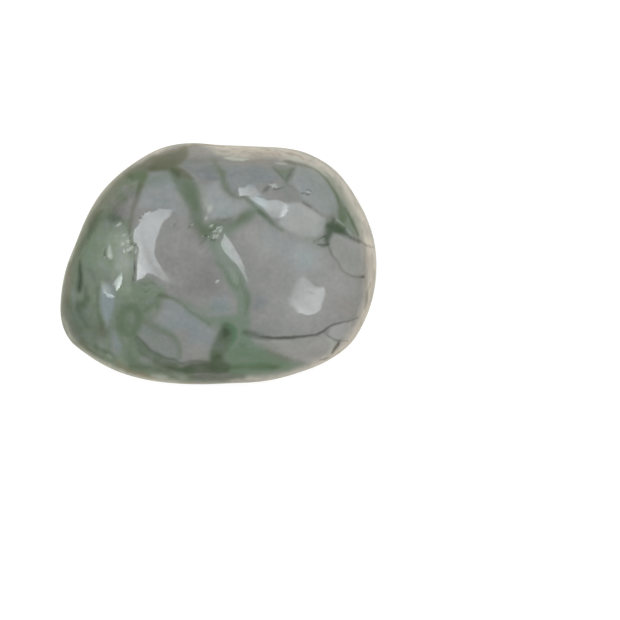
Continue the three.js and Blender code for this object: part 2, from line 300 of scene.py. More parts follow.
DARK_VEINS = (
    # Deep in the brown band, and in the line down from it.
    Vein(0.22, 0.3, ((-3.9, 5.0, 0.1), (-3.4, 5.1, 0.15), (-2.6, 5.5, 0.3), (-2.1, 5.7, 0.25),
                     (-1.8, 6.15, 0.1))),
    Vein(0.6, 0.14, ((-4.8, 4.75, 0.06), (-4.65, 4.65, 0.14), (-4.5, 4.5, 0.06))),
    Vein(0.35, 0.16, ((-3.9, 4.95, 0.06), (-3.45, 5.05, 0.16), (-3.0, 5.08, 0.1),
                      (-2.5, 5.0, 0.12))),
    Vein(0.45, 0.16, ((-2.4, 5.0, 0.1), (-2.15, 4.75, 0.14), (-2.0, 4.6, 0.06))),
    Vein(0.45, 0.1, ((-4.15, 4.1, 0.06), (-4.25, 3.8, 0.09), (-4.35, 3.5, 0.04))),
    # The heart of the near edge and the column under it.
    Vein(0.95, 0.2, ((0.42, -3.52, 0.14), (0.5, -3.7, 0.24), (0.42, -3.9, 0.14))),
    Vein(0.4, 0.25, ((0.45, -3.4, 0.25), (0.55, -3.65, 0.36), (0.5, -4.0, 0.3))),
    Vein(0.36, 0.2, ((0.35, -3.8, 0.3), (0.2, -4.3, 0.38), (0.0, -4.8, 0.34))),
    Vein(0.66, 0.2, ((0.05, -4.9, 0.2), (0.0, -5.3, 0.38), (0.0, -5.55, 0.4), (-0.1, -5.8, 0.3))),
    # Along the near edge.
    Vein(0.4, 0.14, ((-4.35, -4.0, 0.08), (-4.2, -4.3, 0.12), (-4.1, -4.6, 0.06))),
    Vein(0.45, 0.2, ((-4.3, -4.2, 0.06), (-4.15, -4.7, 0.1), (-3.7, -5.0, 0.12), (-3.1, -5.3, 0.2),
                     (-2.5, -5.5, 0.24), (-1.9, -5.65, 0.2))),
    Vein(0.6, 0.1, ((-4.3, -3.95, 0.05), (-4.06, -4.22, 0.08), (-3.8, -4.46, 0.1),
                    (-3.4, -4.8, 0.12), (-2.85, -5.05, 0.1), (-2.3, -5.16, 0.08),
                    (-1.96, -5.36, 0.08), (-1.62, -5.3, 0.08), (-1.2, -5.24, 0.08),
                    (-0.5, -5.26, 0.1))),
    Vein(0.45, 0.2, ((-4.0, -4.5, 0.05), (-3.4, -4.95, 0.14), (-2.8, -5.22, 0.18),
                     (-2.2, -5.42, 0.2))),
    Vein(0.35, 0.25, ((-4.6, -5.5, 0.1), (-3.6, -5.6, 0.16), (-2.6, -5.75, 0.16), (-1.0, -5.9, 0.3),
                      (0.2, -5.9, 0.3))),
    Vein(0.75, 0.2, ((-2.6, -5.55, 0.12), (-2.0, -5.72, 0.2), (-1.4, -5.62, 0.34),
                     (-0.5, -5.6, 0.4), (0.3, -5.6, 0.4))),
    Vein(0.65, 0.25, ((-1.6, -6.05, 0.12), (-1.0, -6.1, 0.28), (-0.3, -6.15, 0.3),
                      (0.5, -6.1, 0.24), (1.3, -6.1, 0.1))),
    Vein(0.15, 0.2, ((0.8, -5.6, 0.1), (1.6, -5.6, 0.14), (2.4, -5.58, 0.12), (3.3, -5.5, 0.08))),
    Vein(0.4, 0.1, ((2.75, -5.5, 0.06), (2.95, -5.56, 0.12), (3.15, -5.55, 0.05))),
    # Streaks and stains down the left end.
    Vein(0.4, 0.2, ((-5.75, 2.4, 0.1), (-5.5, 2.35, 0.18), (-5.2, 2.4, 0.1))),
    Vein(0.6, 0.2, ((-6.2, 2.75, 0.08), (-6.45, 2.4, 0.2), (-6.7, 2.0, 0.16), (-6.95, 1.4, 0.08))),
    Vein(0.35, 0.12, ((-7.0, 1.5, 0.04), (-7.25, 1.0, 0.08), (-7.4, 0.5, 0.06))),
    Vein(1.0, 0.16, ((-7.36, 0.15, 0.02), (-7.36, -0.3, 0.1), (-7.34, -0.8, 0.15),
                     (-7.4, -1.3, 0.16), (-7.42, -1.5, 0.08))),
    Vein(0.5, 0.2, ((-7.1, -1.3, 0.1), (-7.0, -1.75, 0.14), (-7.1, -2.1, 0.18), (-7.45, -2.4, 0.2),
                    (-7.3, -2.9, 0.12), (-6.95, -3.4, 0.1))),
    Vein(0.38, 0.3, ((-8.1, -1.9, 0.04), (-7.95, -2.3, 0.16), (-7.75, -2.9, 0.2), (-7.6, -3.4, 0.2),
                     (-7.4, -3.75, 0.16), (-7.2, -4.05, 0.12), (-7.0, -4.25, 0.05))),
    Vein(0.4, 0.2, ((-6.9, -0.35, 0.06), (-6.68, -0.6, 0.14), (-6.5, -1.1, 0.04))),
    Vein(0.3, 0.14, ((-6.45, -1.1, 0.04), (-6.42, -2.0, 0.04), (-6.35, -2.8, 0.06),
                     (-6.2, -3.2, 0.12), (-6.2, -3.5, 0.1))),
    Vein(0.6, 0.15, ((-8.0, -4.1, 0.04), (-7.6, -4.45, 0.1), (-7.2, -4.75, 0.05))),
    Vein(0.45, 0.14, ((-6.5, -4.4, 0.06), (-6.1, -4.65, 0.09), (-5.6, -4.95, 0.06))),
    # Wisps under the left light.
    Vein(0.35, 0.06, ((-4.0, -1.05, 0.01), (-3.8, -1.16, 0.04), (-3.55, -1.1, 0.01))),
    Vein(0.35, 0.06, ((-3.95, -1.42, 0.02), (-3.75, -1.54, 0.05), (-3.5, -1.38, 0.02))),
    Vein(0.35, 0.06, ((-3.6, -0.95, 0.01), (-3.35, -1.1, 0.03), (-3.1, -1.3, 0.01))),
    Vein(0.4, 0.08, ((-3.3, -1.95, 0.03), (-3.15, -1.8, 0.06), (-3.0, -1.65, 0.03))),
    # The star on the right shoulder.
    Vein(0.8, 0.16, ((6.2, 2.34, 0.06), (6.1, 2.05, 0.18), (5.98, 1.7, 0.2), (5.82, 1.3, 0.14),
                     (5.82, 1.05, 0.1))),
    Vein(0.82, 0.15, ((5.95, 1.95, 0.2), (6.2, 1.88, 0.26), (6.5, 1.78, 0.22), (6.75, 1.6, 0.14),
                      (6.95, 1.45, 0.08), (7.2, 1.3, 0.06), (7.55, 1.12, 0.05))),
    Vein(0.8, 0.07, ((5.78, 1.45, 0.08), (5.5, 1.27, 0.06), (5.1, 1.12, 0.02))),
    Vein(0.75, 0.07, ((5.86, 1.02, 0.1), (5.6, 0.95, 0.07), (5.3, 1.0, 0.03))),
    # Where the long crack starts, and on both sides of the link from the knot.
    Vein(0.66, 0.2, ((1.45, -3.7, 0.1), (1.75, -3.75, 0.18), (2.15, -3.85, 0.14),
                     (2.7, -4.0, 0.05))),
    Vein(0.45, 0.1, ((0.0, 2.28, 0.04), (0.35, 2.27, 0.05), (0.7, 2.34, 0.04))),
    Vein(0.35, 0.12, ((2.2, 2.75, 0.06), (2.55, 2.45, 0.1), (3.0, 2.05, 0.06))),
    # A wedge beside the pit on the right shoulder, and inside the triangle.
    Vein(0.5, 0.1, ((2.42, 3.75, 0.02), (2.62, 3.95, 0.12), (2.85, 4.12, 0.04))),
    Vein(0.4, 0.1, ((2.95, 5.15, 0.03), (3.3, 4.75, 0.05), (3.6, 4.4, 0.05))),
    Vein(0.4, 0.12, ((4.0, 5.0, 0.05), (3.82, 4.65, 0.1), (3.68, 4.35, 0.05))),
)

# Hairline cracks, which are open at the surface.
CRACKS = (
    # The long one at the near right, and its forks.
    Vein(0.9, 0.08, ((2.4, -3.91, 0.02), (2.8, -3.96, 0.06), (3.3, -3.97, 0.07), (4.0, -3.97, 0.07),
                     (4.6, -3.91, 0.05), (5.2, -3.83, 0.05), (5.65, -3.64, 0.05),
                     (5.95, -3.38, 0.03), (6.4, -3.22, 0.02), (7.0, -3.1, 0.01),
                     (7.5, -2.9, 0.005))),
    Vein(0.6, 0.06, ((5.65, -3.68, 0.02), (6.0, -3.95, 0.02), (6.3, -4.1, 0.02), (6.6, -4.15, 0.02),
                     (6.95, -4.15, 0.01))),
    Vein(0.9, 0.08, ((6.5, -4.15, 0.02), (6.4, -4.4, 0.06), (6.2, -4.65, 0.05), (6.1, -4.8, 0.02))),
    # Short ones on the right shoulder, at the knot, and at the near and right edges.
    Vein(0.7, 0.05, ((3.02, 3.93, 0.02), (3.2, 3.93, 0.035), (3.5, 4.03, 0.02))),
    Vein(0.8, 0.05, ((4.45, 3.66, 0.02), (4.62, 3.72, 0.03), (4.78, 3.62, 0.03),
                     (4.92, 3.68, 0.02))),
    Vein(0.6, 0.05, ((4.55, 3.22, 0.02), (4.75, 3.1, 0.03), (5.0, 2.95, 0.02))),
    Vein(0.8, 0.05, ((-0.68, 1.38, 0.02), (-0.6, 1.39, 0.05), (-0.45, 1.45, 0.02))),
    Vein(0.6, 0.06, ((5.45, -5.2, 0.02), (5.75, -5.12, 0.03), (6.0, -5.0, 0.01))),
    Vein(0.7, 0.06, ((7.7, -0.78, 0.03), (7.8, -0.75, 0.05))),
)

# Specks and hairlines that are dark but too fine to be open.
SPECKS = (
    Vein(0.6, 0.05, ((-4.7, 1.8, 0.02), (-4.66, 1.4, 0.03), (-4.55, 1.0, 0.03))),
    Vein(0.9, 0.05, ((-4.32, 0.8, 0.02), (-4.35, 0.3, 0.02), (-4.38, -0.3, 0.03),
                     (-4.42, -0.92, 0.03))),
    Vein(0.5, 0.05, ((-4.4, -0.95, 0.03), (-4.15, -0.8, 0.02), (-3.9, -0.6, 0.02))),
    Vein(0.55, 0.05, ((-4.15, 2.3, 0.02), (-4.0, 2.45, 0.03))),
    Vein(0.55, 0.05, ((-3.95, 2.52, 0.02), (-3.82, 2.68, 0.03))),
    Vein(0.6, 0.05, ((-4.5, 0.98, 0.02), (-4.4, 0.95, 0.04), (-4.34, 0.86, 0.02))),
    Vein(0.6, 0.05, ((-4.72, 0.55, 0.02), (-4.6, 0.58, 0.04))),
    Vein(0.5, 0.04, ((-0.2, 1.52, 0.02), (-0.12, 1.5, 0.03))),
    Vein(0.6, 0.04, ((0.0, 1.56, 0.02), (0.08, 1.57, 0.03))),
    Vein(0.6, 0.05, ((4.7, 3.87, 0.02), (4.88, 3.88, 0.02), (5.0, 3.8, 0.02))),
    Vein(0.5, 0.05, ((-4.0, 2.36, 0.02), (-3.85, 2.34, 0.04))),
    Vein(0.6, 0.06, ((-2.3, 2.0, 0.03), (-2.18, 2.02, 0.03))),
    Vein(0.6, 0.05, ((-1.46, 1.98, 0.02), (-1.4, 1.82, 0.03))),
    Vein(0.5, 0.05, ((-0.9, 1.0, 0.02), (-0.75, 1.15, 0.03), (-0.6, 1.2, 0.01))),
    Vein(0.5, 0.04, ((0.1, 1.5, 0.02), (-0.1, 1.25, 0.03), (-0.3, 1.2, 0.02))),
    Vein(0.5, 0.05, ((-0.3, 1.75, 0.02), (-0.2, 1.5, 0.03), (-0.35, 1.4, 0.01))),
    Vein(0.6, 0.05, ((-5.98, 0.75, 0.02), (-6.0, 0.4, 0.04), (-5.85, 0.2, 0.02))),
    Vein(0.6, 0.05, ((-4.95, 0.75, 0.02), (-4.8, 0.58, 0.03), (-4.6, 0.58, 0.01))),
    Vein(0.5, 0.05, ((4.75, -1.5, 0.01), (4.95, -1.56, 0.03), (5.2, -1.66, 0.01))),
    Vein(0.4, 0.06, ((-7.1, -4.5, 0.02), (-6.7, -4.75, 0.03), (-6.2, -5.05, 0.02))),
)

# The pale rind, which shows where the tumbling didn't wear it through, with painted light in it: the
# pale floor mirrored by the steep edges and light shining through the thin edges.
RIND_AND_EDGE_GLOW = (
    # Along the far edge, the right one, and the far left one.
    Vein(0.95, 0.3, ((-1.0, 6.5, 0.06), (-0.5, 6.4, 0.14), (0.2, 6.2, 0.34), (1.2, 6.1, 0.42),
                     (2.4, 6.1, 0.36), (3.4, 6.0, 0.34))),
    Vein(0.86, 0.35, ((3.4, 6.0, 0.34), (4.4, 5.78, 0.28), (5.4, 5.3, 0.26), (6.35, 4.6, 0.32),
                      (7.05, 3.75, 0.36), (7.5, 2.8, 0.38))),
    Vein(0.95, 0.3, ((7.3, 3.2, 0.1), (7.6, 2.6, 0.3), (7.9, 1.9, 0.4), (8.2, 0.9, 0.42),
                     (8.32, 0.0, 0.4), (8.32, -1.0, 0.38), (8.2, -1.9, 0.36), (7.95, -2.9, 0.36),
                     (7.5, -3.75, 0.32), (6.8, -4.5, 0.28), (6.0, -5.1, 0.2), (5.0, -5.6, 0.18),
                     (4.0, -6.0, 0.14))),
    Vein(0.85, 0.3, ((-7.3, 2.6, 0.12), (-6.75, 3.4, 0.24), (-6.0, 4.4, 0.3), (-5.1, 5.3, 0.24),
                     (-4.2, 5.8, 0.28), (-3.4, 6.05, 0.26), (-2.8, 6.25, 0.14))),
    # Thin remains of it along the left and near edges.
    Vein(0.7, 0.2, ((-8.5, -1.2, 0.1), (-8.35, -0.2, 0.14), (-8.05, 0.6, 0.14), (-7.6, 1.8, 0.12),
                    (-7.0, 3.1, 0.12), (-6.2, 4.3, 0.12), (-5.2, 5.2, 0.14), (-3.9, 5.95, 0.18),
                    (-3.2, 6.15, 0.16), (-2.4, 6.4, 0.1), (-1.6, 6.5, 0.12))),
    Vein(0.5, 0.2, ((-8.3, -3.0, 0.06), (-7.8, -4.1, 0.1), (-7.0, -4.9, 0.12), (-6.0, -5.5, 0.16),
                    (-4.9, -6.0, 0.16), (-3.9, -6.25, 0.2), (-3.0, -6.35, 0.2),
                    (-2.2, -6.45, 0.1))),
    Vein(0.5, 0.15, ((0.6, -6.28, 0.04), (1.3, -6.2, 0.12), (2.6, -6.12, 0.12), (3.6, -5.95, 0.12),
                     (4.5, -5.6, 0.12), (5.2, -5.3, 0.06))),
)

# The fan of fresh green that opens from the long vein to the near edge.
FAN = Patch(0.3, (
    (1.0, -2.9), (1.7, -2.9), (1.72, -3.6), (1.85, -4.1), (2.4, -4.5), (3.0, -4.85), (3.8, -5.15),
    (4.6, -5.4), (3.7, -5.75), (2.6, -5.95), (1.6, -6.02), (0.6, -6.02), (0.4, -5.6), (0.45, -5.3),
    (0.2, -4.95), (0.6, -4.55), (0.95, -4.1), (1.0, -3.5),
))

# The left end is clouded with moss green, which thins out in its clearings.
MOSS = Patch(0.25, (
    (-4.6, 2.3), (-4.3, 0.6), (-4.3, -1.0), (-3.9, -0.8), (-3.3, -0.9), (-2.75, -1.4), (-2.9, -2.0),
    (-3.05, -2.6), (-3.5, -3.05), (-4.1, -3.3), (-4.25, -3.95), (-3.5, -4.75), (-2.6, -5.1),
    (-1.9, -5.5), (-1.2, -5.7), (-1.4, -6.8), (-5.0, -6.8), (-9.0, -5.0), (-9.5, 0.0), (-8.0, 4.0),
    (-5.6, 5.2), (-4.7, 4.8), (-4.3, 3.9), (-4.9, 3.2), (-5.4, 2.5),
))
CLEARINGS = (
    # The teardrop, and the small patch under it.
    Vein(0.9, 0.16, ((-5.84, -1.3, 0.26), (-5.85, -1.6, 0.4), (-5.87, -2.2, 0.4),
                     (-5.9, -2.8, 0.24), (-5.93, -3.3, 0.05))),
    Vein(0.75, 0.2, ((-5.5, -3.8, 0.12), (-5.44, -4.3, 0.3), (-5.4, -4.75, 0.14))),
    # Where the moss pales towards the ridge.
    Vein(0.45, 0.5, ((-5.1, 1.9, 0.2), (-5.0, 1.0, 0.4), (-5.0, 0.0, 0.5), (-4.9, -0.6, 0.3))),
    Vein(0.5, 0.2, ((-6.8, -0.4, 0.05), (-6.65, -0.75, 0.2), (-6.5, -1.15, 0.06))),
    Vein(0.45, 0.25, ((-5.5, -0.5, 0.1), (-5.55, -0.95, 0.26), (-5.75, -1.3, 0.2))),
    Vein(0.55, 0.3, ((-8.0, -0.5, 0.1), (-8.15, -1.3, 0.2), (-8.2, -2.3, 0.2), (-8.0, -3.2, 0.16),
                     (-7.5, -4.0, 0.12))),
    Vein(0.4, 0.25, ((-6.4, -3.9, 0.05), (-6.2, -4.25, 0.2), (-6.0, -4.5, 0.05))),
    Vein(0.35, 0.25, ((-4.9, -4.1, 0.1), (-4.6, -4.2, 0.16))),
    Vein(0.5, 0.25, ((-3.7, -2.75, 0.1), (-3.3, -2.65, 0.2))),
    # Mauve and bluish patches on the far side.
    Vein(0.75, 0.25, ((-5.6, 3.4, 0.15), (-5.35, 3.0, 0.3), (-5.0, 2.7, 0.2))),
    Vein(0.8, 0.16, ((-4.95, 4.0, 0.15), (-4.75, 3.75, 0.2), (-4.6, 3.4, 0.14))),
    # A small grey patch near the leaf.
    Vein(0.65, 0.14, ((-4.05, -5.1, 0.1), (-3.82, -5.15, 0.2), (-3.55, -5.22, 0.1))),
)

# Rust at the edges, and a thin painted warm glow of the lit near edge.
RUST_AND_EDGE_GLOW_VEINS = (
    # A thin warm line right at the near edge: painted glow of light through the thin edge.
    Vein(0.35, 0.08, ((-2.9, -6.38, 0.03), (-1.5, -6.46, 0.04), (0.0, -6.48, 0.04),
                      (1.5, -6.4, 0.04), (3.0, -6.22, 0.04), (4.5, -5.85, 0.04), (5.8, -5.25, 0.04),
                      (6.9, -4.45, 0.03))),
    Vein(0.6, 0.07, ((-3.0, 5.92, 0.02), (-2.3, 6.08, 0.04), (-1.6, 6.25, 0.05), (-0.9, 6.4, 0.05),
                     (0.3, 6.3, 0.03))),
    Vein(0.6, 0.14, ((-5.4, -5.45, 0.02), (-4.8, -5.76, 0.05), (-4.2, -5.93, 0.08),
                     (-3.6, -6.06, 0.05), (-3.2, -6.14, 0.02))),
    Vein(0.25, 0.15, ((-5.5, -5.2, 0.04), (-5.1, -5.45, 0.1), (-4.6, -5.7, 0.06))),
    Vein(0.3, 0.1, ((7.95, -0.9, 0.02), (8.0, -1.6, 0.06), (7.98, -2.3, 0.06), (7.75, -3.0, 0.03))),
    Vein(0.55, 0.08, ((3.3, 6.0, 0.02), (3.8, 5.88, 0.05), (4.3, 5.78, 0.05), (4.6, 5.55, 0.02))),
    Vein(0.2, 0.25, ((0.6, 5.5, 0.05), (1.6, 5.55, 0.14), (2.8, 5.5, 0.12))),
    Vein(0.36, 0.2, ((0.2, 6.0, 0.05), (1.2, 5.97, 0.14), (2.4, 5.94, 0.2), (3.3, 5.85, 0.1))),
    Vein(0.3, 0.2, ((-7.95, -0.3, 0.08), (-8.0, -1.2, 0.12), (-8.05, -2.0, 0.06))),
    Vein(0.14, 0.2, ((8.05, 0.8, 0.15), (8.15, -0.4, 0.25), (8.1, -1.8, 0.2), (7.65, -3.3, 0.2),
                     (6.8, -4.5, 0.16), (5.8, -5.25, 0.1))),
)

# Pale streaks, some of them painted highlights and glints.
PALE_VEINS = (
    # A painted highlight on the steep far edge, where no light can be mirrored.
    Vein(0.85, 0.08, ((0.35, 5.6, 0.02), (0.7, 5.58, 0.07), (1.3, 5.56, 0.07), (1.7, 5.58, 0.02))),
    # A painted highlight along the crest above the knot.
    Vein(0.5, 0.08, ((-0.22, 3.05, 0.04), (-0.35, 2.85, 0.13), (-0.45, 2.65, 0.06))),
    Vein(0.7, 0.05, ((-0.36, 3.15, 0.05), (-0.42, 2.9, 0.05), (-0.5, 2.6, 0.04),
                     (-0.6, 2.3, 0.03))),
    Vein(0.4, 0.05, ((-0.3, 3.02, 0.03), (0.0, 2.98, 0.02))),
    Vein(0.8, 0.12, ((-7.72, 0.9, 0.02), (-7.85, 0.55, 0.08), (-7.95, 0.2, 0.03))),
    Vein(0.5, 0.05, ((5.2, 1.18, 0.02), (5.4, 1.2, 0.03), (5.65, 1.3, 0.02))),
    Vein(0.4, 0.06, ((6.35, 2.3, 0.02), (6.5, 2.18, 0.04), (6.7, 2.02, 0.01))),
    Vein(0.4, 0.06, ((6.85, 1.8, 0.01), (7.05, 1.6, 0.03), (7.2, 1.46, 0.01))),
    Vein(0.4, 0.2, ((5.75, -3.95, 0.02), (6.15, -4.25, 0.1), (6.0, -4.65, 0.06))),
    Vein(0.5, 0.1, ((3.65, 5.75, 0.04), (4.1, 5.65, 0.1), (4.5, 5.5, 0.04))),
    Vein(0.5, 0.06, ((3.05, 5.32, 0.03), (3.4, 5.3, 0.05), (3.7, 5.28, 0.03))),
    Vein(0.4, 0.1, ((4.9, 5.25, 0.03), (5.4, 4.95, 0.06), (5.8, 4.65, 0.03))),
    Vein(0.75, 0.06, ((-5.76, 0.95, 0.01), (-5.76, 0.65, 0.09), (-5.7, 0.35, 0.13),
                      (-5.65, 0.25, 0.08))),
    Vein(0.8, 0.04, ((-6.0, 0.3, 0.04), (-5.93, 0.28, 0.03))),
    Vein(0.45, 0.14, ((-3.5, -5.98, 0.04), (-3.1, -6.02, 0.12), (-2.75, -6.08, 0.06))),
    Vein(0.25, 0.2, ((-2.2, -5.98, 0.05), (-1.9, -6.03, 0.12), (-1.6, -6.08, 0.05))),
    Vein(0.3, 0.14, ((-5.85, -4.95, 0.06), (-5.7, -5.05, 0.06))),
    Vein(0.22, 0.3, ((0.55, -0.1, 0.05), (0.85, -0.5, 0.16), (1.0, -0.9, 0.1))),
    Vein(0.15, 0.3, ((0.08, 0.95, 0.1), (0.33, 0.4, 0.22), (0.6, 0.0, 0.15))),
    Vein(0.22, 0.4, ((-2.6, -0.8, 0.1), (-2.1, -1.1, 0.15))),
    Vein(0.16, 0.3, ((-0.85, 4.0, 0.1), (-0.75, 3.6, 0.2), (-0.6, 3.1, 0.1))),
    # A painted glint at the chip under the middle.
    Vein(0.9, 0.03, ((0.02, -1.04, 0.03), (0.1, -1.05, 0.04))),
    Vein(0.35, 0.15, ((-6.1, -1.0, 0.06), (-5.9, -1.35, 0.14), (-5.75, -1.55, 0.06))),
)

# The cells between the veins. Where two overlap, the later one lies on top.
CELLS = (
    # Top left, and the small one on the edge beside the brown band.
    Cell(0.16, -0.3, 0.14, ((-3.85, 4.2), (-3.45, 4.75), (-3.0, 4.88), (-2.5, 4.7), (-2.15, 4.3),
                            (-2.0, 3.9), (-1.7, 3.3), (-1.5, 2.7), (-1.6, 2.2), (-2.6, 2.9),
                            (-4.2, 2.9), (-4.2, 3.5))),
    Cell(-0.05, 0.1, 0.12, ((-1.5, 6.2), (-1.7, 5.75), (-0.9, 5.7), (-0.75, 5.95), (-1.1, 6.2))),
    # Between the trunk and the top vein, above the knot, and right of the top vein.
    Cell(-0.13, -0.3, 0.14, ((-1.9, 5.5), (-0.4, 5.55), (0.0, 5.0), (0.15, 4.4), (-0.6, 4.4),
                             (-1.0, 4.5), (-1.35, 4.8), (-1.9, 5.1))),
    Cell(0.34, -0.35, 0.24, ((-0.65, 4.1), (0.1, 4.3), (0.4, 3.7), (0.8, 3.3), (1.4, 3.3),
                             (1.6, 3.0), (0.9, 2.5), (0.1, 2.3), (-0.4, 2.4), (-0.7, 3.0))),
    Cell(0.0, -0.45, 0.15, ((0.4, 5.2), (3.0, 5.1), (3.3, 4.5), (2.6, 4.2), (1.2, 3.7), (0.65, 3.8),
                            (0.45, 4.5))),
    # The right shoulder: the cool one, the pale one and the small round one.
    Cell(0.24, -0.3, 0.12, ((4.15, 5.15), (5.0, 5.05), (5.6, 4.55), (6.05, 3.9), (6.35, 3.4),
                            (6.45, 2.9), (5.9, 2.5), (5.4, 2.7), (5.0, 2.95), (4.5, 3.25),
                            (4.25, 3.6), (4.0, 4.2))),
    Cell(0.56, -0.2, 0.12, ((3.6, 3.2), (4.4, 3.2), (5.1, 2.85), (5.75, 2.4), (5.75, 1.9),
                            (5.3, 1.4), (4.6, 1.35), (3.9, 1.65), (3.3, 2.0), (3.3, 2.5))),
    Cell(0.25, 0.08, 0.08, ((5.95, 1.2), (6.15, 1.6), (6.65, 1.65), (7.1, 1.3), (7.6, 1.1),
                            (7.75, 0.6), (7.75, -0.6), (7.0, -0.6), (6.6, -0.4), (6.45, 0.0),
                            (6.05, 0.6))),
    # The cell in the near middle with its two warmer parts, and the leaf left of them.
    Cell(0.08, -0.4, 0.16, ((-2.75, -1.85), (-2.1, -2.05), (-1.55, -2.45), (-1.0, -2.9),
                            (-0.4, -3.25), (0.0, -3.6), (-0.3, -5.0), (-2.1, -5.3), (-2.1, -4.3),
                            (-2.4, -3.75), (-3.1, -3.5), (-3.4, -3.2), (-3.2, -2.6))),
    Cell(0.04, 0.15, 0.35, ((-2.0, -4.3), (-0.5, -4.4), (-0.3, -5.2), (-1.3, -5.2), (-2.0, -5.4))),
    Cell(0.0, 0.15, 0.3, ((-2.3, -3.6), (-1.6, -3.6), (-1.6, -4.1), (-2.2, -4.2))),
    Cell(-0.05, -0.3, 0.1, ((-4.25, -3.9), (-4.15, -3.35), (-3.8, -3.35), (-3.3, -3.55),
                            (-2.9, -3.75), (-2.3, -4.1), (-2.1, -4.5), (-2.0, -5.0), (-1.95, -5.3),
                            (-2.3, -5.1), (-2.85, -5.0), (-3.4, -4.75), (-3.8, -4.4),
                            (-4.05, -4.1))),
    # The teardrop in the left end, and the small cell under it.
    Cell(0.12, -0.75, 0.14, ((-6.3, -1.3), (-5.8, -1.1), (-5.4, -1.4), (-5.45, -2.2), (-5.7, -3.0),
                             (-5.92, -3.35), (-6.15, -2.9), (-6.3, -2.2))),
    Cell(0.04, -0.55, 0.2, ((-5.8, -3.65), (-5.1, -3.65), (-5.0, -4.4), (-5.3, -4.8),
                            (-5.65, -4.5))),
    # Under the long crack, and between its forks.
    Cell(0.26, 0.2, 0.12, ((1.9, -4.1), (3.0, -4.05), (5.2, -3.95), (5.7, -3.8), (6.2, -4.1),
                           (6.35, -4.4), (5.9, -5.0), (5.0, -5.3), (4.2, -5.2), (2.8, -4.7),
                           (2.0, -4.4))),
    Cell(0.4, 0.1, 0.07, ((5.85, -3.8), (6.1, -3.4), (6.5, -3.25), (7.2, -3.1), (7.0, -3.9),
                          (6.4, -4.05))),
)

# Soft patches of tone, which the cells lie over.
CLOUDS = (
    Cloud(-2.4, 1.4, 0.9, 0.12, 0.0),
    Cloud(-0.8, -1.0, 0.9, -0.2, 0.2),
    Cloud(0.2, -2.3, 0.6, 0.1, -0.6),
    Cloud(2.2, 3.2, 0.5, 0.46, -0.7),
    Cloud(-3.5, -1.5, 0.5, 0.15, 0.0),
    Cloud(-1.6, 0.3, 0.9, 0.02, 0.1),
    Cloud(-1.0, -1.6, 0.6, 0.05, -0.15),
    Cloud(1.7, 1.5, 0.6, 0.24, 0.3),
    Cloud(2.8, 1.2, 0.9, 0.28, -0.3),
    Cloud(2.5, 0.1, 0.7, 0.04, 0.1),
    Cloud(4.2, -1.2, 3.0, 0.16, 0.0),
    Cloud(4.7, 0.3, 1.0, 0.36, -0.4),
    Cloud(2.3, -2.2, 0.5, -0.14, -0.35),
    Cloud(4.2, -2.8, 1.4, 0.1, 0.05),
    Cloud(6.5, -1.1, 1.0, 0.22, 0.05),
    Cloud(5.3, -3.0, 1.1, 0.12, 0.0),
    Cloud(6.9, -2.3, 0.5, 0.0, 0.45),
    Cloud(-5.1, 1.3, 0.7, 0.4, 0.0),
    Cloud(-5.0, 0.0, 0.8, 0.5, 0.0),
    Cloud(-4.9, -1.3, 0.5, 0.3, 0.0),
    Cloud(-6.4, 0.9, 0.8, 0.14, 0.0),
    Cloud(-6.2, 0.1, 0.4, 0.2, 0.0),
    Cloud(-5.4, 2.35, 0.5, -0.3, 0.0),
    Cloud(-6.75, -1.8, 0.6, 0.08, 0.0),
    Cloud(-7.1, -3.3, 1.0, -0.14, 0.0),
    Cloud(-7.4, -2.1, 0.5, -0.12, 0.0),
    Cloud(-6.3, -3.8, 0.4, -0.2, 0.1),
    Cloud(-6.2, -4.6, 0.4, 0.1, 0.0),
    Cloud(-4.65, -4.25, 0.4, 0.2, 0.0),
    Cloud(-5.0, -5.2, 0.5, 0.14, 0.0),
    Cloud(-5.5, 4.0, 0.6, -0.1, 0.2),
    Cloud(-5.35, 3.0, 0.5, -0.3, 0.3),
    Cloud(-4.75, 3.75, 0.4, -0.2, -0.3),
)

# Small pits and the chipped places, which catch the light.
PITS = (
    Pit(2.72, 4.02, 0.16, 0.04), Pit(-1.38, 1.82, 0.08, 0.02), Pit(-0.6, 1.4, 0.1, 0.05),
    Pit(0.5, -3.48, 0.08, 0.02), Pit(4.55, 3.66, 0.07, 0.04),
)
CHIPPED = (
    Pit(-5.18, 2.05, 0.08, 0.05), Pit(-5.03, 1.06, 0.1, 0.05), Pit(-4.62, 0.82, 0.1, 0.06),
    Pit(-4.78, 0.68, 0.12, 0.06), Pit(-4.76, 1.17, 0.09, 0.05), Pit(-4.96, 1.5, 0.07, 0.04),
    Pit(-4.4, 0.6, 0.05, 0.04), Pit(-5.74, 0.4, 0.13, 0.04), Pit(-5.76, 0.7, 0.08, 0.02),
    Pit(-0.03, 1.4, 0.12, 0.07), Pit(-0.2, 1.68, 0.06, 0.05), Pit(0.13, 1.7, 0.07, 0.06),
    Pit(-0.27, 1.92, 0.07, 0.04), Pit(-0.22, 1.2, 0.05, 0.04), Pit(-0.3, 1.42, 0.05, 0.04),
    Pit(-1.26, 1.98, 0.06, 0.04), Pit(2.98, 4.1, 0.09, 0.05), Pit(3.18, 4.04, 0.06, 0.04),
    Pit(4.78, 3.8, 0.05, 0.05), Pit(4.88, 3.75, 0.06, 0.05), Pit(0.06, -1.04, 0.07, 0.05),
    Pit(-5.3, 1.97, 0.06, 0.05),
)

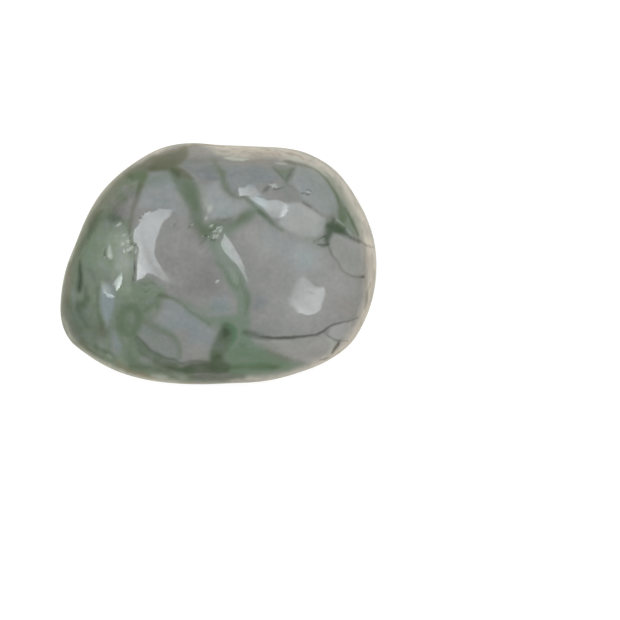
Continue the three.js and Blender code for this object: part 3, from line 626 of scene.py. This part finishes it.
# The lights: the outline where the camera sees each one mirrored in the stone, and at each of its
# corners the light's share of the full brightness.
LIGHTS = (
    Light("left", (
        (-4.22, 2.2, 1.0), (-4.3, 2.42, 1.0), (-4.12, 2.38, 1.0), (-4.18, 2.62, 1.0),
        (-4.0, 2.54, 1.0), (-3.98, 2.78, 1.0), (-3.82, 2.7, 1.0), (-3.76, 2.84, 1.0),
        (-3.58, 2.78, 1.0), (-3.37, 2.84, 1.0), (-3.13, 2.95, 0.95), (-2.69, 2.91, 0.85),
        (-2.38, 2.88, 0.35), (-2.59, 2.57, 0.85), (-2.83, 2.37, 0.95), (-3.03, 2.13, 1.0),
        (-3.15, 1.88, 1.0), (-3.26, 1.49, 1.0), (-3.38, 1.15, 1.0), (-3.47, 0.76, 1.0),
        (-3.42, 0.37, 0.95), (-3.23, 0.02, 0.85), (-2.98, -0.32, 0.7), (-2.75, -0.7, 0.45),
        (-2.3, -1.15, 0.1), (-2.69, -1.02, 0.35), (-3.08, -0.86, 0.55), (-3.47, -0.66, 0.85),
        (-3.81, -0.54, 1.1), (-4.15, -0.76, 0.9), (-4.43, -0.92, 1.6), (-4.4, -0.32, 1.7),
        (-4.36, 0.17, 1.2), (-4.36, 0.51, 1.0), (-4.33, 0.84, 1.0), (-4.42, 0.92, 1.0),
        (-4.52, 1.0, 1.1), (-4.56, 1.34, 1.15), (-4.5, 1.83, 1.1), (-4.3, 2.05, 1.0),
    )),
    Light("right", (
        (3.7, -1.98, 0.5), (4.0, -1.5, 0.6), (4.14, -0.98, 0.5), (4.5, -0.67, 0.6),
        (4.84, -1.02, 0.6), (5.16, -1.32, 1.0), (5.6, -1.3, 1.1), (5.78, -1.63, 0.8),
        (5.6, -2.1, 0.9), (5.27, -2.66, 0.9), (4.73, -2.8, 1.0), (4.3, -2.7, 1.2),
        (3.95, -2.35, 0.9),
    )),
    Light("far", (
        (1.11, 4.07, 1.1), (1.47, 4.1, 0.8), (1.75, 4.33, 0.2), (2.05, 4.1, 0.4),
        (2.3, 3.66, 0.5), (1.9, 3.62, 0.7), (1.5, 3.64, 1.0), (1.11, 3.66, 1.2),
    )),
    Light("shoulder", (
        (1.6, 3.58, 0.7), (2.05, 3.6, 0.9), (2.34, 3.52, 1.0), (2.65, 3.34, 0.8),
        (2.9, 3.42, 0.6), (3.2, 3.4, 0.7), (3.47, 3.33, 0.8), (3.78, 3.1, 0.9), (3.7, 2.8, 2.0),
        (3.6, 2.57, 1.6), (3.37, 2.44, 0.7), (3.06, 2.4, 0.4), (2.75, 2.54, 0.5),
        (2.55, 2.82, 0.7), (2.29, 3.08, 0.9), (1.9, 3.3, 0.8),
    )),
    Light("ridge", (
        (0.07, 1.25, 0.8), (0.26, 1.6, 0.9), (0.55, 1.29, 0.7), (0.78, 0.96, 0.8),
        (0.98, 0.72, 0.9), (1.15, 0.45, 0.9), (1.28, 0.15, 0.8), (1.37, -0.15, 0.8),
        (1.46, -0.42, 0.7), (1.54, -0.69, 0.7), (1.58, -0.93, 0.7), (1.62, -1.15, 0.2),
        (1.49, -1.03, 0.5), (1.42, -0.72, 0.6), (1.28, -0.45, 0.7), (1.12, -0.19, 0.9),
        (0.91, 0.02, 1.0), (0.68, 0.28, 1.0), (0.38, 0.59, 1.0), (0.21, 0.89, 0.9),
    )),
    Light("low left", (
        (-5.18, -0.44, 0.6), (-5.47, -0.81, 0.9), (-5.72, -1.1, 0.6), (-5.55, -1.25, 1.2),
        (-5.5, -1.47, 2.0), (-5.33, -1.29, 2.6), (-5.2, -0.85, 2.0),
    )),
    Light("near left", (
        (-6.34, -1.08, 0.3), (-6.26, -1.39, 0.5), (-6.1, -1.69, 0.8), (-5.91, -1.88, 1.2),
        (-5.69, -1.86, 1.6), (-5.55, -1.81, 0.9), (-5.72, -1.69, 1.8), (-5.96, -1.61, 1.4),
        (-6.1, -1.39, 0.7), (-6.23, -1.2, 0.4),
    )),
)


def length_setting(name, description, default):
    return bpy.props.FloatProperty(
        name=name, description=description, default=default, unit="LENGTH", precision=6
    )


def brightness_setting(name, description, default):
    return bpy.props.FloatProperty(name=name, description=description, default=default, min=0)


def colour_setting(name, description, default):
    return bpy.props.FloatVectorProperty(
        name=name, description=description, default=default, subtype="COLOR", min=0, max=1
    )


class StoneSettings(bpy.types.PropertyGroup):
    """Sizes and colours of the stone."""

    cage_cuts: bpy.props.IntProperty(
        name="Cage", description="Faces along each edge of the cube that the pebble starts from",
        default=32, min=4, max=32,
    )
    ripple: length_setting("Ripple", "How far the polished surface waves", 0.003 * MM)
    ripple_size: length_setting(
        "Ripple size", "Length of the waves in the polished surface", 1.6 * MM
    )
    crack_depth: length_setting(
        "Crack depth", "How deep the hairline cracks are open at the surface", 0.03 * MM
    )
    grey: colour_setting("Grey", "The clear grey agate", (0.232, 0.23, 0.219))
    cool: colour_setting("Cool grey", "The agate where it is bluish", (0.19, 0.228, 0.238))
    warm: colour_setting("Warm grey", "The agate where it is pinkish", (0.26, 0.225, 0.19))
    moss: colour_setting("Moss", "The green clouds at the left end", (0.155, 0.195, 0.14))
    green: colour_setting("Green", "The veins", (0.082, 0.125, 0.066))
    fresh: colour_setting(
        "Fresh green", "The clearest green, near the front edge", (0.076, 0.176, 0.084)
    )
    olive: colour_setting("Olive", "The brownish veins", (0.106, 0.11, 0.07))
    dark: colour_setting("Dark green", "The darkest green", (0.022, 0.05, 0.016))
    crack: colour_setting("Cracks", "What has settled in the cracks", (0.03, 0.028, 0.015))
    # The rind colour also paints the glow where the edges mirror the pale floor and let light through.
    rind: colour_setting(
        "Rind and edge glow", "The pale rind at the far and right edges", (0.62, 0.565, 0.49)
    )
    # The rust colour also paints a warm glow along the near edge.
    rust: colour_setting("Rust and edge glow", "The brown stains at the edges", (0.17, 0.105, 0.045))
    # The pale colour also paints highlights and glints among the pale streaks.
    pale: colour_setting(
        "Pale", "The pale streaks and the broken stone in the chips", (0.44, 0.475, 0.42)
    )


class StageSettings(bpy.types.PropertyGroup):
    """The floor, the lights and the camera."""

    frame_width: length_setting(
        "Frame width", "How wide the camera's view is at the stone's widest level", 33.33 * MM
    )
    camera_height: length_setting(
        "Camera height", "From the stone's widest level up to the camera", 300 * MM
    )
    camera_place: bpy.props.FloatVectorProperty(
        name="Camera place", description="The middle of the view, from the stone's middle", size=2,
        default=(4.92 * MM, -2.5 * MM), unit="LENGTH", precision=6,
    )
    floor_width: length_setting("Floor", "Width of the floor", 600 * MM)
    floor_glow: brightness_setting(
        "Floor glow", "How much light comes through the floor from below", 0.75
    )
    mirrored_glow: brightness_setting(
        "Mirrored floor", "Brightness of the floor where the stone mirrors it", 0.56
    )
    mirrored_tint: colour_setting(
        "Mirrored tint", "Colour of the floor where the stone mirrors it", (1.0, 0.965, 0.79)
    )
    surroundings: brightness_setting("Surroundings", "Brightness of the pale surroundings", 0.8)
    light_distance: length_setting("Light distance", "From the stone to each light", 250 * MM)
    light_strength: brightness_setting("Light strength", "Full brightness of a light panel", 5.6)
    light_tint: colour_setting("Light tint", "Colour of the lights", (0.91, 0.977, 1.0))


def select_only(piece):
    for other in bpy.context.selected_objects:
        other.select_set(False)
    piece.select_set(True)
    bpy.context.view_layer.objects.active = piece


def modify(piece, kind, **settings):
    """Adds a modifier to the active piece, sets it up and applies it."""
    bpy.ops.object.modifier_add(type=kind)
    modifier = piece.modifiers[-1]
    for name, value in settings.items():
        setattr(modifier, name, value)
    bpy.ops.object.modifier_apply(modifier=modifier.name)


def merged_solid():
    """A copy of the stone's solid with its loose triangles joined, to fit the fine surface to."""
    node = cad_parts[NODE]
    solid = node.copy()
    solid.data = node.data.copy()
    solid.name = "solid_to_fit"
    bpy.context.collection.objects.link(solid)
    solid.parent = None
    select_only(solid)
    bpy.ops.object.mode_set(mode="EDIT")
    bpy.ops.mesh.select_all(action="SELECT")
    bpy.ops.mesh.remove_doubles(threshold=WELD)
    bpy.ops.object.mode_set(mode="OBJECT")
    return solid


def fitted_pebble(settings):
    """The pebble's surface in even quads: a cube, divided, rounded and drawn onto the solid."""
    low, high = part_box(NODE)
    solid = merged_solid()
    solid.select_set(False)
    bpy.ops.mesh.primitive_cube_add(size=1)
    pebble = bpy.context.object
    pebble.name = PIECE
    bpy.ops.object.mode_set(mode="EDIT")
    bpy.ops.mesh.select_all(action="SELECT")
    bpy.ops.mesh.subdivide(number_cuts=settings.cage_cuts - 1)
    bpy.ops.object.mode_set(mode="OBJECT")
    modify(pebble, "CAST", factor=1, size=BALL_RADIUS, use_radius_as_size=False)
    modify(pebble, "SUBSURF", levels=FINE_LEVELS, render_levels=FINE_LEVELS)
    pebble.location = (low + high) / 2
    pebble.scale = high - low
    bpy.ops.object.transform_apply()
    modify(
        pebble, "SHRINKWRAP", target=solid, wrap_method="PROJECT",
        use_negative_direction=True, use_positive_direction=False,
    )
    bpy.data.objects.remove(solid)
    modify(pebble, "SMOOTH", factor=0.5, iterations=SMOOTHING_ROUNDS)
    bpy.ops.object.shade_smooth()
    return pebble


def vertex_places(piece):
    places = np.empty(len(piece.data.vertices) * 3)
    piece.data.vertices.foreach_get("co", places)
    return places.reshape(-1, 3) / MM


def ease(low, high, values):
    share = np.clip((values - low) / (high - low), 0, 1)
    return share * share * (3 - 2 * share)


def wander(places, wave, seed):
    """A smooth random shift for each place, about one unit long, that turns over a wave's length."""
    apart = Vector([seed * shift for shift in SEED_SHIFTS])
    return np.array([noise.noise_vector(Vector(place) / wave + apart) for place in places])


def pattern_places(places):
    """Where each place of the surface lies on the drawn pattern, whose lines waver a little."""
    broad_waver = 0.05 * wander(places, wave=0.9, seed=2)
    fine_waver = 0.03 * wander(places, wave=0.3, seed=3)
    return places[:, :2] + broad_waver[:, :2] + fine_waver[:, :2]


def crown_share(places):
    """How much of the drawn pattern each place shows, from 1 on the crown to 0 down the sides."""
    raised = 1.6 * np.abs(wander(places, wave=3.0, seed=9)[:, 2])
    return ease(DRAWN_FROM, DRAWN_FULLY_FROM, places[:, 2] + raised)


def smooth_route(route, steps=5):
    """Points close together on a smooth curve through the route's own."""
    points = np.array(route)
    points = np.vstack([2 * points[0] - points[1], points, 2 * points[-1] - points[-2]])
    shares = np.arange(steps)[:, None] / steps
    spans = []
    for before, start, end, after in zip(points, points[1:], points[2:], points[3:]):
        spans.append(
            0.5 * (
                2 * start
                + (end - before) * shares
                + (2 * before - 5 * start + 4 * end - after) * shares**2
                + (3 * start - before - 3 * end + after) * shares**3
            )
        )
    return np.vstack([*spans, points[-2]])


def distance_along(places, start, end):
    """Each place's distance from a straight stretch, and how far along it the nearest point is."""
    run = end - start
    share = np.clip((places - start) @ run / max(run @ run, NO_LENGTH), 0, 1)
    return np.linalg.norm(places - start - share[:, None] * run, axis=1), share


def vein_cover(places, veins, spread=1):
    """How strongly the veins colour each place, from 0 to 1. A larger spread fades them further out."""
    cover = np.zeros(len(places))
    for vein in veins:
        route = smooth_route(vein.route)
        fade = vein.fade * spread
        reach = route[:, 2].max() + fade
        low, high = route[:, :2].min(0) - reach, route[:, :2].max(0) + reach
        near = np.flatnonzero(np.all((places > low) & (places < high), axis=1))
        depth = np.full(len(near), -np.inf)
        for start, end in zip(route, route[1:]):
            away, share = distance_along(places[near], start[:2], end[:2])
            depth = np.maximum(depth, start[2] + share * (end[2] - start[2]) - away)
        cover[near] = np.maximum(cover[near], vein.strength * ease(-fade, fade, depth))
    return cover


def patch_cover(places, patch):
    """How much of each place lies inside the patch, from 0 to 1 across its faded edge."""
    outline = np.array(patch.outline)
    nearest = np.full(len(places), np.inf)
    inside = np.zeros(len(places), bool)
    for start, end in zip(outline, np.roll(outline, -1, axis=0)):
        nearest = np.minimum(nearest, distance_along(places, start, end)[0])
        spans = (start[1] > places[:, 1]) != (end[1] > places[:, 1])
        rise = end[1] - start[1]
        if rise:
            crossing = start[0] + (places[:, 1] - start[1]) * (end[0] - start[0]) / rise
            inside ^= spans & (places[:, 0] < crossing)
    return ease(-patch.fade, patch.fade, np.where(inside, nearest, -nearest))


def cloud_share(places, x, y, reach):
    """How near each place lies to a middle, from 1 there to almost 0 at twice the reach."""
    away = np.linalg.norm(places - (x, y), axis=1) / reach
    return np.exp(-(away**2))


def pit_cover(places, pits):
    """How deep the pits go at each place, in millimetres."""
    cover = np.zeros(len(places))
    for pit in pits:
        cover = np.maximum(cover, pit.depth * cloud_share(places, pit.x, pit.y, pit.radius))
    return cover


def tones(places):
    """Lightness and warmth of each place against the plain grey."""
    light = np.zeros(len(places))
    warm = np.zeros(len(places))
    for cloud in CLOUDS:
        share = cloud_share(places, cloud.x, cloud.y, cloud.reach)
        light += cloud.light * share
        warm += cloud.warm * share
    for cell in CELLS:
        share = patch_cover(places, cell)
        light += share * (cell.light - light)
        warm += share * (cell.warm - warm)
    return light, warm


def network(places, cell_width, seed):
    """Veins between rounded cells: their cover from 0 to 1, and a tone from -1 to 1 for each cell."""
    broad_bend = 0.4 * wander(places, wave=2.4, seed=seed)
    fine_bend = 0.1 * wander(places, wave=0.8, seed=seed)
    bent = places / cell_width + broad_bend + fine_bend + seed
    gaps = np.empty(len(places))
    cell_tones = np.empty(len(places))
    for index, place in enumerate(bent):
        reaches, middles = noise.voronoi(Vector(place))
        gaps[index] = reaches[1] - reaches[0]
        cell_tones[index] = noise.cell(middles[0] * TONE_STEPS)
    width = 0.04 + 0.2 * wander(places, wave=1.7, seed=seed + 1)[:, 0]
    edge = 0.12
    return 1 - ease(width, width + edge, gaps), cell_tones


def side_fields(solid_places, places):
    """The stone's colouring round its sides and below, in patches that drift over it."""
    veins, cell_tones = network(solid_places, SIDE_CELL_WIDTH, seed=4)
    fine_veins, _ = network(solid_places, SIDE_FINE_CELL_WIDTH, seed=7)
    drift = wander(solid_places, wave=2.5, seed=6)
    first, second, third = drift.T
    along, _, height = solid_places.T
    fields = {
        "light": cell_tones,
        "warm": first,
        "green": veins,
        "fresh": veins,
        "haze": veins,
        "olive": fine_veins * ease(-0.1, 0.3, first),
        "dark": veins * ease(0.1, 0.4, third),
        "rust": fine_veins * ease(0.1, 0.4, first),
        "pale": fine_veins * ease(0.0, 0.3, third),
    }
    fields = {name: SIDE_STRENGTHS[name] * values for name, values in fields.items()}
    fields["moss"] = ease(SIDE_MOSS_FROM, SIDE_MOSS_FULLY_FROM, along + 1.8 * second)
    # The pale rind with its painted edge glow, only high on the sides.
    rind_and_glow_left = ease(SIDE_RIND_AND_GLOW_DOWN_TO, SIDE_RIND_AND_GLOW_WHOLE_ABOVE, height + 2.5 * third)
    fields["rind"] = rind_and_glow_left * vein_cover(places + 0.9 * drift[:, :2], RIND_AND_EDGE_GLOW)
    fields["specks"] = np.zeros(len(places))
    return fields


def crown_fields(places):
    """The stone's colouring on its crown, from the drawn pattern."""
    light, warm = tones(places)
    fan = FAN_STRENGTH * patch_cover(places, FAN)
    return {
        "light": light,
        "warm": warm,
        "moss": patch_cover(places, MOSS) * (1 - vein_cover(places, CLEARINGS)),
        # The pale rind, with the painted glow of the lit edges.
        "rind": vein_cover(places, RIND_AND_EDGE_GLOW),
        "green": vein_cover(places, GREEN_VEINS),
        "fresh": np.maximum(vein_cover(places, FRESH_VEINS), fan),
        "olive": vein_cover(places, OLIVE_VEINS),
        "dark": vein_cover(places, DARK_VEINS),
        # Rust, and a painted warm glow along the near edge.
        "rust": vein_cover(places, RUST_AND_EDGE_GLOW_VEINS),
        # Pale streaks, with painted highlights and glints among them.
        "pale": vein_cover(places, PALE_VEINS),
        "specks": vein_cover(places, SPECKS),
        "haze": vein_cover(places, GREEN_VEINS, HAZE_SPREAD),
    }


def stone_fields(solid_places, places, on_crown):
    """The stone's colouring: the drawn pattern on the crown, and a like one round and under it."""
    crown = crown_fields(places)
    side = side_fields(solid_places, places)
    return {name: side[name] + on_crown * (crown[name] - side[name]) for name in crown}


def keep_field(piece, name, values):
    """Keeps one number for each vertex, which the material reads by its name."""
    field = piece.data.attributes.new(name, "FLOAT", "POINT")
    field.data.foreach_set("value", values.astype(np.float32))


def weigh(piece, name, values):
    """A vertex group with these weights, for a modifier to follow."""
    group = piece.vertex_groups.new(name=name)
    for index in np.flatnonzero(values > LEAST_WEIGHT):
        group.add([int(index)], float(min(values[index], 1)), "REPLACE")


def carve(pebble, settings, places, on_crown, cracks):
    """Ripples, cracks, pits and chips in the surface itself."""
    ripples = bpy.data.textures.new("polish ripples", "CLOUDS")
    ripples.noise_scale = settings.ripple_size
    ripples.noise_depth = 1
    modify(
        pebble, "DISPLACE", texture=ripples, texture_coords="LOCAL", strength=settings.ripple,
        mid_level=1,
    )
    weigh(pebble, "cracks", cracks)
    modify(
        pebble, "DISPLACE", vertex_group="cracks", strength=-settings.crack_depth, mid_level=0,
    )
    weigh(pebble, "pits", on_crown * pit_cover(places, PITS) / FULL_WEIGHT_DEPTH)
    modify(pebble, "DISPLACE", vertex_group="pits", strength=-FULL_WEIGHT_DEPTH * MM, mid_level=0)
    broken = bpy.data.textures.new("broken stone", "VORONOI")
    broken.noise_scale = BROKEN_GRAIN
    weigh(pebble, "chips", on_crown * pit_cover(places, CHIPPED) / FULL_WEIGHT_DEPTH)
    modify(
        pebble, "DISPLACE", vertex_group="chips", texture=broken, texture_coords="LOCAL",
        strength=-BROKEN_DEPTH * FULL_WEIGHT_DEPTH * MM, mid_level=0,
    )
    pebble.vertex_groups.clear()


class Shade:
    """A socket of a material's node tree. Python's operators on it add Math nodes."""

    def __init__(self, finish, socket):
        self.finish = finish
        self.socket = socket

    def math(self, operation, first, second):
        return self.finish.node(
            "ShaderNodeMath", {"operation": operation}, {0: first, 1: second}
        )

    def __add__(self, other):
        return self.math("ADD", self, other)

    __radd__ = __add__

    def __sub__(self, other):
        return self.math("SUBTRACT", self, other)

    def __rsub__(self, other):
        return self.math("SUBTRACT", other, self)

    def __mul__(self, other):
        return self.math("MULTIPLY", self, other)

    __rmul__ = __mul__


class Finish:
    """A new material, whose nodes are added by one method."""

    def __init__(self, name):
        self.material = bpy.data.materials.new(name)
        self.material.use_nodes = True
        self.tree = self.material.node_tree
        self.tree.nodes.clear()

    def node(self, kind, settings=None, inputs=None, output=0):
        made = self.tree.nodes.new(kind)
        for name, value in (settings or {}).items():
            setattr(made, name, value)
        for key, value in (inputs or {}).items():
            if isinstance(value, Shade):
                self.tree.links.new(value.socket, made.inputs[key])
            else:
                made.inputs[key].default_value = value
        return Shade(self, made.outputs[output] if made.outputs else None)

    def field(self, name):
        """A number that the piece keeps for each vertex."""
        return self.node("ShaderNodeAttribute", {"attribute_name": name}, output="Fac")

    def cloudy(self, place, size, detail):
        """Noise from about 0.3 to 0.7 whose clouds are as wide as the size, in millimetres."""
        return self.node(
            "ShaderNodeTexNoise", {},
            {"Vector": place, "Scale": 1 / (size * MM), "Detail": detail},
        )

    def eased(self, value, low, high, end=1.0):
        """A soft step from 0 to the end as the value goes from low to high."""
        return self.node(
            "ShaderNodeMapRange", {"interpolation_type": "SMOOTHSTEP"},
            {0: value, 1: low, 2: high, 3: 0.0, 4: end},
        )

    def mix(self, share, first, second, blend="MIX"):
        return self.node(
            "ShaderNodeMix", {"data_type": "RGBA", "blend_type": blend},
            {0: share, 6: first, 7: second}, output=2,
        )


def colour(values):
    return (*values, 1.0)


def clear_ground(finish, settings, broad, middle):
    """The clear agate, which drifts from bluish to pinkish grey."""
    broad_drift = (broad - MID_NOISE) * 0.7
    small_drift = (middle - MID_NOISE) * 0.4
    warmth = finish.field("warm") + broad_drift + small_drift - 0.12
    ground = finish.mix(
        finish.eased(warmth, 0, 1), colour(settings.grey), colour(settings.warm)
    )
    return finish.mix(finish.eased(warmth, 0, -1), ground, colour(settings.cool))


def mossy_ground(finish, settings, streaks, blotches):
    """Moss green with streaks and blotches of the veins' green, and bluish gaps."""
    greener_streaks = finish.eased(streaks, 0.3, 0.7, end=0.3)
    greener_blotches = finish.eased(blotches, 0.52, 0.68, end=0.35)
    bluish_gaps = finish.eased(blotches, 0.48, 0.35, end=0.3)
    moss = finish.mix(greener_streaks, colour(settings.moss), colour(settings.green))
    moss = finish.mix(greener_blotches, moss, colour(settings.green))
    return finish.mix(bluish_gaps, moss, colour(settings.cool))


def polished_agate(settings):
    """The stone's material. The patterns come from the fields that the pebble keeps."""
    finish = Finish("polished agate")
    place = finish.node("ShaderNodeTexCoord", output="Object")
    stretched = finish.node(
        "ShaderNodeVectorMath", {"operation": "MULTIPLY"}, {0: place, 1: STREAK_STRETCH}
    )
    broad = finish.cloudy(place, size=2.2, detail=3)
    middle = finish.cloudy(place, size=0.8, detail=3)
    fine = finish.cloudy(place, size=0.25, detail=2)
    streaks = finish.cloudy(stretched, size=0.5, detail=3)
    blotches = finish.cloudy(place, size=0.6, detail=3)

    def frayed(name, amount):
        """A field's cover, with its faded edge broken up and its strength varied by noise."""
        cover = finish.field(name)
        edge = cover * (1 - cover) * 4
        edge_noise = edge * (middle - MID_NOISE) * amount
        strength_noise = cover * (streaks - MID_NOISE) * amount * 0.6
        return finish.node("ShaderNodeClamp", {}, {0: cover + edge_noise + strength_noise})

    ground = clear_ground(finish, settings, broad, middle)
    moss = mossy_ground(finish, settings, streaks, blotches)
    look = finish.mix(frayed("moss", 0.4) * MOSS_SHOWS, ground, moss)
    broad_mottle = (middle - MID_NOISE) * 0.35
    fine_mottle = (fine - MID_NOISE) * 0.3
    light = finish.field("light") + broad_mottle + fine_mottle + 1
    lightness = finish.node("ShaderNodeCombineColor", {}, {0: light, 1: light, 2: light})
    look = finish.mix(1.0, look, lightness, "MULTIPLY")
    look = finish.mix(frayed("haze", 0.4) * HAZE_SHOWS, look, colour(settings.fresh))
    # The pale rind, with the painted glow of the lit edges in it, streaked with the clear ground.
    gaps_in_rind_and_glow = finish.eased(streaks, 0.4, 0.7, end=0.5)
    streaked_rind_and_glow = finish.mix(gaps_in_rind_and_glow, colour(settings.rind), ground)
    look = finish.mix(frayed("rind", 0.5), look, streaked_rind_and_glow)
    # The pale colour here also paints highlights and glints.
    # The rust colour here also paints a warm glow along the near edge.
    for name in ("fresh", "green", "olive", "dark", "rust", "pale"):
        look = finish.mix(frayed(name, 0.6), look, colour(getattr(settings, name)))
    look = finish.mix(frayed("chips", 0.5) * CHIPS_SHOW, look, colour(settings.pale))
    for name in ("cracks", "specks"):
        look = finish.mix(frayed(name, 0.3), look, colour(settings.crack))

    broken = finish.field("chips")
    cracked = finish.field("cracks")
    rough = POLISH_ROUGHNESS + broken * BROKEN_ROUGHNESS + cracked * BROKEN_ROUGHNESS
    grain = finish.cloudy(place, size=0.09, detail=1)
    bumps = finish.node(
        "ShaderNodeBump", {},
        {"Strength": 1.0, "Distance": 0.02 * MM, "Height": broken * grain + fine * 0.02},
    )
    surface = finish.node(
        "ShaderNodeBsdfPrincipled", {},
        {
            "Base Color": look,
            "Roughness": rough,
            "IOR": 1.54,
            "Normal": bumps,
            "Subsurface Weight": 0.35,
            "Subsurface Radius": (1.0, 0.9, 0.7),
            "Subsurface Scale": 0.8 * MM,
        },
    )
    finish.node("ShaderNodeOutputMaterial", {}, {"Surface": surface})
    return finish.material


class TUMBLED_OT_stone(bpy.types.Operator):
    """Makes the polished stone in place of its plain solid"""

    bl_idname = "tumbled.stone"
    bl_label = "Polished stone"

    def execute(self, context):
        noise.seed_set(NOISE_SEED)
        settings = context.scene.tumbled_stone
        pebble = fitted_pebble(settings)
        solid_places = vertex_places(pebble)
        places = pattern_places(solid_places)
        on_crown = crown_share(solid_places)
        cracks = on_crown * vein_cover(places, CRACKS)
        chips = on_crown * ease(*CHIP_EDGE_DEPTHS, pit_cover(places, CHIPPED))
        carve(pebble, settings, places, on_crown, cracks)
        fields = {
            **stone_fields(solid_places, places, on_crown),
            "chips": chips,
            "cracks": cracks,
        }
        for name, values in fields.items():
            keep_field(pebble, name, values)
        pebble.data.materials.append(polished_agate(settings))
        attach(pebble, BODY)
        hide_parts(NODE)
        return {"FINISHED"}


def floor_plane(name, depth, stage, base, glow, tint):
    """A plain level plane that lies the given depth under the stone and shines a little."""
    finish = Finish(name)
    surface = finish.node(
        "ShaderNodeBsdfPrincipled", {},
        {
            "Base Color": colour((base, base, base)),
            "Roughness": 0.9,
            "Specular IOR Level": 0.0,
            "Emission Color": colour(tint),
            "Emission Strength": glow,
        },
    )
    finish.node("ShaderNodeOutputMaterial", {}, {"Surface": surface})
    bpy.ops.mesh.primitive_plane_add(size=stage.floor_width, location=(0, 0, -depth))
    plane = bpy.context.object
    plane.name = name.replace(" ", "_")
    bpy.ops.object.transform_apply()
    plane.data.materials.append(finish.material)
    return plane


def floors(stage):
    """The pale floor, and a dimmer one under it that only the stone's polish mirrors."""
    floor = floor_plane(
        "pale floor", FLOOR_DEPTH, stage, base=0.4, glow=stage.floor_glow, tint=WHITE
    )
    floor.visible_glossy = False
    mirrored = floor_plane(
        "mirrored floor", 2 * FLOOR_DEPTH, stage, base=0.0, glow=stage.mirrored_glow,
        tint=stage.mirrored_tint,
    )
    mirrored.visible_camera = False
    mirrored.visible_diffuse = False
    mirrored.visible_shadow = False


def surroundings(stage):
    world = bpy.data.worlds.new("pale surroundings")
    bpy.context.scene.world = world
    world.use_nodes = True
    background = world.node_tree.nodes["Background"]
    background.inputs["Color"].default_value = colour(WHITE)
    background.inputs["Strength"].default_value = stage.surroundings


def camera(stage, level):
    """Looks straight down, with the stone left of the middle of the view."""
    across, along = stage.camera_place
    bpy.ops.object.camera_add(
        location=(across, along, level + stage.camera_height), rotation=(0, 0, 0)
    )
    made = bpy.context.object
    made.name = "camera"
    made.data.sensor_width = 36
    made.data.lens = made.data.sensor_width * stage.camera_height / stage.frame_width
    made.data.clip_start = 10 * MM
    made.data.clip_end = 10
    bpy.context.scene.camera = made
    return made


def mirrored_way(pebble, eye, aim):
    """Where the line of sight meets the stone, and the way that it is mirrored from there."""
    sight = (aim - eye).normalized()
    slopes = []
    for step_x, step_y in product((-2, -1, 0, 1, 2), repeat=2):
        nearby = aim + SLOPE_STEP * Vector((step_x, step_y, 0))
        found, place, slope, _ = pebble.ray_cast(eye, (nearby - eye).normalized())
        if not found:
            raise RuntimeError(f"no stone at {nearby}, so no light can be mirrored there")
        slopes.append(slope)
    # The middle value, so that a chip nearby doesn't count.
    slope = Vector(np.median(slopes, axis=0)).normalized()
    return place, sight - 2 * sight.dot(slope) * slope


def light_glow(stage):
    """The material of the light panels, each of which keeps its share of the brightness."""
    finish = Finish("light panel")
    tint = finish.mix(1.0, finish.field("share"), colour(stage.light_tint), "MULTIPLY")
    glow = finish.node(
        "ShaderNodeEmission", {}, {"Color": tint, "Strength": stage.light_strength}
    )
    finish.node("ShaderNodeOutputMaterial", {}, {"Surface": glow})
    return finish.material


def light_panel(light, glow, pebble, eye, level, stage):
    """A light whose mirror image in the stone fills its outline, as the camera sees it."""
    corners = []
    for x, y, _ in light.outline:
        place, way = mirrored_way(pebble, eye, Vector((x * MM, y * MM, level)))
        corners.append(place + way * stage.light_distance)
    bpy.ops.mesh.primitive_circle_add(vertices=len(corners), fill_type="NGON")
    panel = bpy.context.object
    panel.name = f"{light.name} light".replace(" ", "_")
    for vertex, corner in zip(panel.data.vertices, corners):
        vertex.co = corner
    keep_field(panel, "share", np.array([share for _, _, share in light.outline]))
    panel.data.materials.append(glow)
    panel.visible_camera = False


class TUMBLED_OT_stage(bpy.types.Operator):
    """Makes the floor, the lights and the camera"""

    bl_idname = "tumbled.stage"
    bl_label = "Floor, lights and camera"

    def execute(self, context):
        stage = context.scene.tumbled_stage
        pebble = bpy.data.objects[PIECE]
        widest = max(pebble.data.vertices, key=lambda vertex: vertex.co.x)
        level = widest.co.z
        floors(stage)
        surroundings(stage)
        eye = camera(stage, level).location
        glow = light_glow(stage)
        for light in LIGHTS:
            light_panel(light, glow, pebble, eye, level, stage)
        context.scene.view_settings.view_transform = "Standard"
        return {"FINISHED"}


class TUMBLED_PT_panel(bpy.types.Panel):
    """Lists what the stone and its stage are made by"""

    bl_label = "Tumbled stone"
    bl_idname = "TUMBLED_PT_panel"
    bl_space_type = "VIEW_3D"
    bl_region_type = "UI"
    bl_category = "Stone"

    def draw(self, context):
        for group, operator in (
            (context.scene.tumbled_stone, TUMBLED_OT_stone),
            (context.scene.tumbled_stage, TUMBLED_OT_stage),
        ):
            box = self.layout.box()
            for name in group.__annotations__:
                box.prop(group, name)
            box.operator(operator.bl_idname)


CLASSES = (
    StoneSettings, StageSettings, TUMBLED_OT_stone, TUMBLED_OT_stage, TUMBLED_PT_panel,
)


def register():
    for made in CLASSES:
        bpy.utils.register_class(made)
    bpy.types.Scene.tumbled_stone = bpy.props.PointerProperty(type=StoneSettings)
    bpy.types.Scene.tumbled_stage = bpy.props.PointerProperty(type=StageSettings)


def unregister():
    del bpy.types.Scene.tumbled_stage
    del bpy.types.Scene.tumbled_stone
    for made in reversed(CLASSES):
        bpy.utils.unregister_class(made)


def main():
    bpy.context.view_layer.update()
    register()
    bpy.ops.tumbled.stone()
    bpy.ops.tumbled.stage()


if __name__ == "__main__":
    main()
